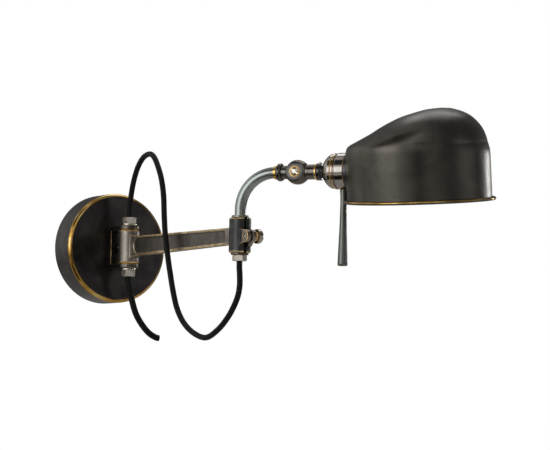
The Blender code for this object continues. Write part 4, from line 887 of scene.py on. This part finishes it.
# %% Ferrule and bead collar
start, end, radius = sized("tube_ferrule", SOCKET_LINE)
turned("tube_end_ferrule", ring_profile(6.4 * MM, radius, start, end), SOCKET_LINE,
       [BRIGHT_BRASS, BRIGHT_BRASS], "tube", ("tube_ferrule",), ring=True)
start, end, radius = sized("tube_collar", SOCKET_LINE)
middle, half = (start + end) / 2, (end - start) / 2
bead = [(radius - 1.9 * MM + 1.9 * MM * math.cos(math.radians(a)), middle
         + half * math.sin(math.radians(a))) for a in range(-80, 81, 16)]
turned("bead_collar", [(7.5 * MM, start)] + bead + [(7.5 * MM, end)], SOCKET_LINE,
       [COLLAR_BLACK, EDGE_BRASS], "tube", ("tube_collar",), ring=True, edge=0)
GRUB_LINE = lying(SOCKET_LINE @ Vector((0, 0, middle)), UP, socket_way)
print("ferrule and bead collar")

# %% [markdown]
# The collars are locked by small set screws. Each is a stub of bar with a sawn slot; the one in the
# bead collar stands just proud of a ring of bright brass where the tapping was countersunk.

# %% Set screws
def set_screw(name, node, line, body, material):
    start, end, radius = sized(node, line)
    profile = [(0, end), (radius - 0.35 * MM, end), (radius, end - 0.35 * MM), (radius, start),
               (0, start)]
    return slotted_screw(name, node, line, profile, 0.6 * MM, 0.5 * MM, end, 30,
                         [material, BRIGHT_BRASS], body)


set_screw("bead_collar_screw", "tube_collar_grub_screw", GRUB_LINE, "tube", COLLAR_BLACK)
sink = [(2.05 * MM, radius - 0.5 * MM), (2.75 * MM, radius - 0.5 * MM),
        (2.6 * MM, radius + 0.12 * MM), (2.05 * MM, radius + 0.05 * MM)]
turned("bead_collar_countersink", sink, GRUB_LINE, [BRIGHT_BRASS], "tube", ring=True, edge=0,
       steps=32)
start, end, radius = sized("swivel_collar", SOCKET_LINE)
SET_LINE = lying(SOCKET_LINE @ Vector((0, 0, (start + end) / 2)), UP, socket_way)
set_screw("black_collar_screw", "swivel_set_screw", SET_LINE, "tilt_stem", NICKEL)
print("two set screws")

# %% Bright ring and black collar
turned("black_collar", ring_profile(5.9 * MM, radius, start, end), SOCKET_LINE,
       [BLACK_LACQUER, COLLAR_BLACK], "tilt_stem", ("swivel_collar",), ring=True, edge=0.7,
       segments=4)
start, end, radius = sized("stem_ring", SOCKET_LINE)
turned("bright_stem_ring", ring_profile(5.9 * MM, radius, start, end), SOCKET_LINE,
       [BRIGHT_BRASS, BRIGHT_BRASS], "tilt_stem", ("stem_ring",), ring=True, edge=0.5, segments=3)
start, end, radius = sized("knuckle_nut", KNUCKLE_LINE)
turned("knuckle_dome_nut", [(0, start), (radius - 2.2 * MM, start), (radius - 0.9 * MM,
                                                                     start + 0.5 * MM),
                            (radius, start + 1.6 * MM), (radius, end), (0, end)],
       KNUCKLE_LINE, [NICKEL, EDGE_BRASS], "tube", ("knuckle_nut",))
print("rings on the stem")

# %% [markdown]
# ## The socket
#
# The neck carries the wires into a cap spun in steps, and a deep plain band screws on below it. The
# handle hangs from that band. Each step of the cap has a crisp edge, where the brass shows as a line.

# %% Neck, cap and band
start, end, radius = sized("socket_neck", SOCKET_LINE)
turned("socket_neck_tube", ring_profile(radius - 1.4 * MM, radius, start, end), SOCKET_LINE,
       [GUNMETAL, EDGE_SOFT], "head", ("socket_neck",), ring=True)
start, end, radius = sized("socket_cap", SOCKET_LINE)
shoulder, step = end - 7.4 * MM, end - 3.0 * MM
inner = radius - 1.4 * MM
crown = [(6.0 * MM, start), (radius - 10.6 * MM, shoulder - 7.9 * MM),
         (radius - 7.4 * MM, shoulder - 6.0 * MM), (radius - 4.6 * MM, shoulder - 3.8 * MM),
         (radius - 2.6 * MM, shoulder - 1.6 * MM), (radius - 1.2 * MM, shoulder + 0.4 * MM)]
steps = [(radius - 0.8 * MM, shoulder + 1.4 * MM), (radius - 0.8 * MM, step - 0.5 * MM),
         (radius - 1.7 * MM, step - 0.3 * MM), (radius - 1.7 * MM, step + 0.3 * MM),
         (radius, step + 0.6 * MM), (radius, end)]
back = [(inner - 0.4 * MM, end), (inner - 0.8 * MM, shoulder + 1.8 * MM),
        (radius - 8.6 * MM, shoulder - 4.6 * MM), (6.0 * MM, start + 1.4 * MM)]
turned("socket_stepped_cap", crown + steps + back, SOCKET_LINE, [SOCKET_NICKEL, BRIGHT_BRASS],
       "head", ("socket_cap",), steps=96, ring=True, edge=0.3)
start, end, radius = sized("socket_band", SOCKET_LINE)
lip = start + 1.6 * MM
band = [(radius - 2.7 * MM, start), (radius - 1.4 * MM, start),
        (radius - 1.4 * MM, lip - 0.4 * MM), (radius - 0.2 * MM, lip), (radius, lip + 0.5 * MM),
        (radius, end - 0.5 * MM), (radius - 0.3 * MM, end), (radius - 2.7 * MM, end)]
turned("socket_deep_band", band, SOCKET_LINE, [SOCKET_NICKEL, EDGE_BRASS], "head",
       ("socket_band",), steps=96, ring=True, edge=0.25)
print("socket")

# %% [markdown]
# ## The handle
#
# A turned drop hangs from the band to aim the hood by. It swells from a slim neck to a rounded foot,
# and the foot's edge is rubbed bright.

# %% Turn the handle
rod_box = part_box("handle_rod")
ROD_LINE = upright(((rod_box[0][0] + rod_box[1][0]) / 2, (rod_box[0][1] + rod_box[1][1]) / 2, 0))
foot, top = rod_box[0][2], rod_box[1][2]
neck = top - 1.5 * MM
drop = [(0, top), (2.0 * MM, top), (2.0 * MM, neck), (3.7 * MM, neck),
        (3.95 * MM, neck - 0.3 * MM), (3.95 * MM, neck - 1.5 * MM),
        (3.75 * MM, neck - 3.4 * MM), (3.55 * MM, neck - 7 * MM), (3.45 * MM, neck - 12 * MM),
        (3.5 * MM, neck - 20 * MM), (3.7 * MM, neck - 30 * MM),
        (4.0 * MM, neck - 41 * MM), (4.4 * MM, neck - 52 * MM), (4.9 * MM, neck - 65 * MM),
        (5.3 * MM, foot + 4 * MM), (5.4 * MM, foot + 2.2 * MM), (5.3 * MM, foot + 1.2 * MM),
        (4.8 * MM, foot + 0.4 * MM), (4.0 * MM, foot), (0, foot)]
turned("turned_handle", drop, ROD_LINE, [ROD_METAL, EDGE_BRASS], "head", ("handle_rod",),
       steps=48, edge=0.25)
print("handle", round((top - foot) / MM, 1), "mm long")

# %% [markdown]
# ## The hood
#
# The hood was spun as a cup and then beaten over a form, so it is round at the rim and leans outward
# at the crown. A circle is extruded level by level, each one scaled about its own middle, and closed
# at the top. The levels are those of the CAD piece with smooth curves between them. The skin gets
# its wall last, and the wall's inner faces take the pale paint that throws the light down.

# %% Levels of the hood
HOOD_RADIUS = 75.6 * MM
HOOD_MIDDLE = 0.200
RIM_DROP = 31.7 * MM
CROWN_HEIGHT = 95.4 * MM
STATIONS = np.array(((0.0, 75.6, 75.6), (23.0, 75.6, 75.2), (46.0, 75.6, 74.8),
                     (54.0, 74.8, 73.6), (58.5, 71.4, 72.2), (62.5, 63.4, 71.2),
                     (70.0, 48.0, 68.4), (76.0, 37.6, 65.0), (82.0, 26.0, 60.0),
                     (87.0, 14.5, 54.4), (91.0, 1.0, 47.0), (94.0, -11.0, 38.5)))


def level_at(share):
    """(height, reach back, reach forward, half width) in metres, part of the way up the hood."""
    at = share * (len(STATIONS) - 1)
    i = min(int(at), len(STATIONS) - 2)
    t = at - i
    a, b, c, d = (STATIONS[min(max(k, 0), len(STATIONS) - 1)] for k in (i - 1, i, i + 1, i + 2))
    height, back, front = 0.5 * (2 * b + (c - a) * t + (2 * a - 5 * b + 4 * c - d) * t * t
                                 + (3 * b - a - 3 * c + d) * t ** 3) * MM
    rise = max(0.0, height - 50 * MM) / (CROWN_HEIGHT - 50 * MM)
    return height, back, front, HOOD_RADIUS * math.sqrt(1 - rise ** 2.1)


levels = [level_at(i / 44) for i in range(45)]
print("hood levels:", len(levels), "up to", round(levels[-1][0] / MM, 1), "mm")

# %% Raise the hood
bpy.ops.object.select_all(action="DESELECT")
bpy.ops.mesh.primitive_circle_add(vertices=128, radius=HOOD_RADIUS, location=(0, 0, 0))
hood = bpy.context.active_object
hood.name = "hood"
bpy.ops.object.mode_set(mode="EDIT")
bpy.ops.mesh.select_all(action="SELECT")
before = levels[0]
for level in levels[1:]:
    middle_before = (before[2] - before[1]) / 2
    middle_now = (level[2] - level[1]) / 2
    bpy.ops.mesh.extrude_region_move(TRANSFORM_OT_translate={
        "value": (middle_now - middle_before, 0, level[0] - before[0])})
    stretch = (level[1] + level[2]) / (before[1] + before[2])
    bpy.ops.transform.resize(value=(stretch, level[3] / before[3], 1),
                             center_override=(middle_now, 0, level[0]))
    before = level
for share, rise in ((0.66, 0.75), (0.33, 0.4)):
    bpy.ops.mesh.extrude_region_move(TRANSFORM_OT_translate={"value": (2.5 * MM, 0, rise * MM)})
    bpy.ops.transform.resize(value=(share, share, 1), center_override=(25 * MM, 0, 0))
bpy.ops.mesh.extrude_region_move(TRANSFORM_OT_translate={"value": (0, 0, 0.2 * MM)})
bpy.ops.mesh.merge(type="CENTER")
weld()
print("hood skin", [round(x / MM, 1) for x in hood.dimensions], "mm")

# %% Wall, opening and rolled rim
# The paint is there before the wall, because the wall's inner faces take the next material.
paint(hood, (HOOD_BRONZE, HOOD_INSIDE))
give_wall(hood, 1.2 * MM, 1)
HOOD_PLACE = HOOD_FRAME @ Matrix.Translation((HOOD_MIDDLE, 0, -RIM_DROP))
opening = bar_of(17.2 * MM, -86 * MM, -66 * MM)
opening.matrix_world = (Matrix.Translation((0, 0, RIM_DROP))
                        @ Matrix.Rotation(math.pi / 2, 4, "Y"))
boolean(hood, opening)
put(hood, HOOD_PLACE)
smooth_faces(hood, 40)
settle(hood, "head", ("shade",))
lip_half, lip_height = 2.37 * MM, 1.9 * MM
lip_middle = HOOD_RADIUS + 3.9 * MM - lip_half
roll = [(lip_middle + lip_half * math.cos(math.radians(a)), lip_height
         * math.sin(math.radians(a))) for a in range(0, 360, 24)]
rim = turned("hood_rolled_rim", roll, HOOD_PLACE, [HOOD_BRONZE, RIM_BRASS], "head", steps=128,
             ring=True, edge=0)
to_hood = HOOD_PLACE.inverted()
for face in rim.data.polygons:
    centre = to_hood @ face.center
    crest = math.hypot(centre.x, centre.y) > lip_middle + 0.3 * lip_half
    if crest and -0.2 * MM < centre.z < 1.5 * MM:
        face.material_index = 1
print("hood", len(hood.data.polygons), "faces, painted inside:",
      sum(face.material_index == 1 for face in hood.data.polygons))

# %% [markdown]
# ## The flange, the lampholder and the lamp
#
# A saddle flange fits the hood's round wall, and a ring nut inside pulls the two together. These and
# the lampholder keep the CAD pieces' shapes where nothing more can be seen of them. The lamp is a
# tubular one, as picture lights take: a threaded cap and a frosted glass tube.

# %% Flange and ring nut
FLANGE_METAL = patina("black nickel flange", "4a494b", "5c5b5f", "6c6a6e", 0.32, cloud_mm=16)
casting("saddle_flange", "shade_holder", "head", FLANGE_METAL, 0.45, 3)
start, end, radius = sized("holder_ring_nut", SOCKET_LINE)
turned("lampholder_ring_nut", ring_profile(17.0 * MM, radius, start, end), SOCKET_LINE,
       [DARK_BRONZE, EDGE_BRASS], "head", ("holder_ring_nut",), ring=True)
print("flange and ring nut")

# %% Threaded cap and glass
start, end, radius = sized("lamp_cap", SOCKET_LINE)
thread = [(0, start), (4.2 * MM, start), (6.8 * MM, start + 1.0 * MM), (radius - 1.0 * MM,
                                                                      start + 4.4 * MM)]
for turn_at in np.arange(start + 5.6 * MM, end - 2.8 * MM, 3.6 * MM):
    thread += [(radius - 0.9 * MM, turn_at), (radius, turn_at + 0.9 * MM),
               (radius, turn_at + 1.4 * MM), (radius - 0.9 * MM, turn_at + 2.4 * MM)]
thread += [(radius - 0.4 * MM, end - 0.4 * MM), (radius - 0.4 * MM, end), (0, end)]
turned("lamp_threaded_cap", thread, SOCKET_LINE, [NICKEL], "head", ("lamp_cap",), edge=0)
start, end, radius = sized("lamp_glass", SOCKET_LINE)
cap_end = sized("lamp_cap", SOCKET_LINE)[1]
glass = [(11.0 * MM, cap_end + 0.3 * MM), (12.6 * MM, cap_end + 1.4 * MM),
         (radius - 0.5 * MM, cap_end + 6.0 * MM), (radius, cap_end + 8.5 * MM)]
glass += rounded((0, end - radius), radius, 0, 90, 12)
turned("lamp_frosted_tube", glass + [(0, cap_end + 0.3 * MM)], SOCKET_LINE, [FROSTED_GLASS],
       "head", ("lamp_glass", "lamp_filament_mount"), edge=0)
print("lamp", round((end - start) / MM, 1), "mm long")

# %% [markdown]
# ## Finishes for what stays from the CAD model
#
# What is hidden in the plate, the hinge and the lampholder keeps its CAD shape. Each gets the finish
# of its real substance: zinc plate on the crossbar, plain steel, bearing bronze and moulded phenolic.

# %% Hidden pieces
ZINC_PLATE = patina("zinc plated steel", "7f827f", "a2a5a1", "bcbfba", 0.42, cloud_mm=5)
PLAIN_STEEL = patina("turned steel", "8f8f8c", "a6a6a3", "b9b9b5", 0.32, cloud_mm=9)
BEARING_BRONZE = patina("bearing bronze", "86622e", "a87c42", "c09252", 0.38, cloud_mm=9)
carried_over = {"mounting_crossbar": ZINC_PLATE, "bracket_bolt": DARK_BRONZE,
                "bracket_bolt_washer": DARK_BRONZE, "hinge_bush": BEARING_BRONZE,
                "thrust_washer_upper": BEARING_BRONZE, "thrust_washer_lower": BEARING_BRONZE,
                "tube_nipple": PLAIN_STEEL, "lamp_lead_tube": FLEX_PLAIN,
                "lamp_lead_socket": FLEX_PLAIN, "lampholder_body": PHENOLIC,
                "lampholder_screw_shell": BRIGHT_BRASS, "lampholder_contact": BRIGHT_BRASS,
                "lamp_tip": PHENOLIC}
for name, material in carried_over.items():
    node = frame["nodes"][name]
    if not node.material_slots:
        node.data.materials.append(material)
    for material_slot in node.material_slots:
        material_slot.material = material
print(len(carried_over), "pieces carried over")

# %% [markdown]
# ## Floor and light
#
# The lamp floats in a white studio: what the camera sees behind it is pure white, but the light that
# falls on it is not the same from every side, because metal only looks like metal when it has both
# light and dark to mirror. Two broad soft boxes stand on the left and one above and behind, a small
# bright one on the right draws a thin line down the round pieces, and a weak one fills the front.

# %% How bright everything is
FLOOR_HEIGHT = -0.62
ROOM_DARK = 0.13
ROOM_BRIGHT = 0.8
# Name, azimuth, elevation, distance, size and brightness.
SOFT_BOXES = (("left_strip", -79, 8, 1.9, (1.1, 1.0), 1.5),
              ("top_left_box", -70, 48, 1.8, (1.5, 0.7), 0.9),
              ("top_back_box", 130, 58, 1.8, (1.2, 0.8), 1.7),
              ("right_spot", 97, 8, 1.7, (0.12, 0.16), 34.0),
              ("front_right_strip", 43, 6, 1.9, (1.0, 0.9), 0.4))
print("brightest light:", max(box[5] for box in SOFT_BOXES))

# %% Floor
bpy.ops.object.select_all(action="DESELECT")
bpy.ops.mesh.primitive_plane_add(size=6, location=(0, -0.3, FLOOR_HEIGHT))
floor = bpy.context.active_object
floor.name = "studio_floor"
bpy.ops.object.transform_apply(location=True, rotation=True, scale=True)
pale, _, shader = new_material("pale studio board", Roughness=0.8)
shader.inputs["Base Color"].default_value = linear("e6e4e0")
floor.data.materials.append(pale)
print("floor at", FLOOR_HEIGHT, "m")

# %% Room
world = bpy.data.worlds.new("studio")
world.use_nodes = True
bpy.context.scene.world = world
room = world.node_tree
room.nodes.clear()
way = add_node(room, "ShaderNodeTexCoord").outputs["Generated"]
sides = add_node(room, "ShaderNodeSeparateXYZ", None, {"Vector": way})
# A pale wall on the left, a dim one on the right, and a darker floor.
left_wall = add_node(room, "ShaderNodeMapRange", {"interpolation_type": "SMOOTHSTEP",
                                                  "From Min": 0.35, "From Max": -0.75,
                                                  "To Min": ROOM_DARK, "To Max": ROOM_BRIGHT},
                     {"Value": sides.outputs["X"]})
low = add_node(room, "ShaderNodeMapRange", {"interpolation_type": "SMOOTHSTEP", "From Min": -0.5,
                                            "From Max": 0.15, "To Min": 0.35, "To Max": 1.0},
               {"Value": sides.outputs["Z"]})
glow = add_node(room, "ShaderNodeMath", {"operation": "MULTIPLY"},
                {0: left_wall.outputs["Result"], 1: low.outputs["Result"]})
path = add_node(room, "ShaderNodeLightPath")
seen = add_node(room, "ShaderNodeBackground", {"Color": (1, 1, 1, 1), "Strength": 1.0})
dim = add_node(room, "ShaderNodeBackground", {"Color": linear("fffdf9")},
               {"Strength": glow.outputs[0]})
either = add_node(room, "ShaderNodeMixShader", None, {0: path.outputs["Is Camera Ray"],
                                                      1: dim.outputs[0], 2: seen.outputs[0]})
add_node(room, "ShaderNodeOutputWorld", None, {"Surface": either.outputs[0]})
bpy.context.scene.view_settings.view_transform = "Standard"
print("room lit")

# %% Soft boxes
LAMP_MIDDLE = Vector((0.04, -0.27, 0))


def towards(azimuth, elevation, distance):
    """A point seen from the lamp: azimuth 0 is straight out from the wall, 90 is on the right."""
    a, e = math.radians(azimuth), math.radians(elevation)
    return LAMP_MIDDLE + distance * Vector((math.sin(a) * math.cos(e),
                                            -math.cos(a) * math.cos(e), math.sin(e)))


def aimed(thing, place):
    turn = (place - LAMP_MIDDLE).to_track_quat("Z", "Y").to_matrix().to_4x4()
    thing.matrix_world = Matrix.Translation(place) @ turn


def soft_box(name, azimuth, elevation, distance, size, brightness):
    """A box light. Its power follows from its brightness and its area."""
    light = bpy.data.lights.new(name, "AREA")
    light.shape = "RECTANGLE"
    light.size, light.size_y = size
    light.energy = brightness * math.pi * size[0] * size[1]
    box = bpy.data.objects.new(name, light)
    bpy.context.scene.collection.objects.link(box)
    aimed(box, towards(azimuth, elevation, distance))
    box.visible_camera = False
    return box


for box in SOFT_BOXES:
    soft_box(*box)
print(len(SOFT_BOXES), "soft boxes")

# %% [markdown]
# Black cloths hang out of the camera's view, as they do when polished metal is lit. The one beside the
# camera is what the dark bands down the hood and the tube mirror. The other two, above and below the
# box on the left, cut its light short and give the socket its black bands.

# %% Black cloths
black, _, shader = new_material("black cloth", Roughness=0.9)
shader.inputs["Base Color"].default_value = linear("0c0c0c")


def black_cloth(name, azimuth, elevation, distance, size):
    bpy.ops.object.select_all(action="DESELECT")
    bpy.ops.mesh.primitive_plane_add(size=1, location=(0, 0, 0))
    cloth = bpy.context.active_object
    cloth.name = name
    cloth.scale = (size[0], size[1], 1)
    bpy.ops.object.transform_apply(location=False, rotation=False, scale=True)
    aimed(cloth, towards(azimuth, elevation, distance))
    bpy.ops.object.transform_apply(location=True, rotation=True, scale=False)
    cloth.visible_camera = False
    cloth.visible_shadow = False
    cloth.data.materials.append(black)
    print(name, [round(x, 2) for x in cloth.dimensions], "m")


black_cloth("black_cloth", -31, -16, 2.2, (0.85, 2.2))
black_cloth("black_flag", -80, 50, 1.6, (1.5, 0.95))
black_cloth("black_low_cloth", -80, -45, 0.78, (0.9, 0.6))
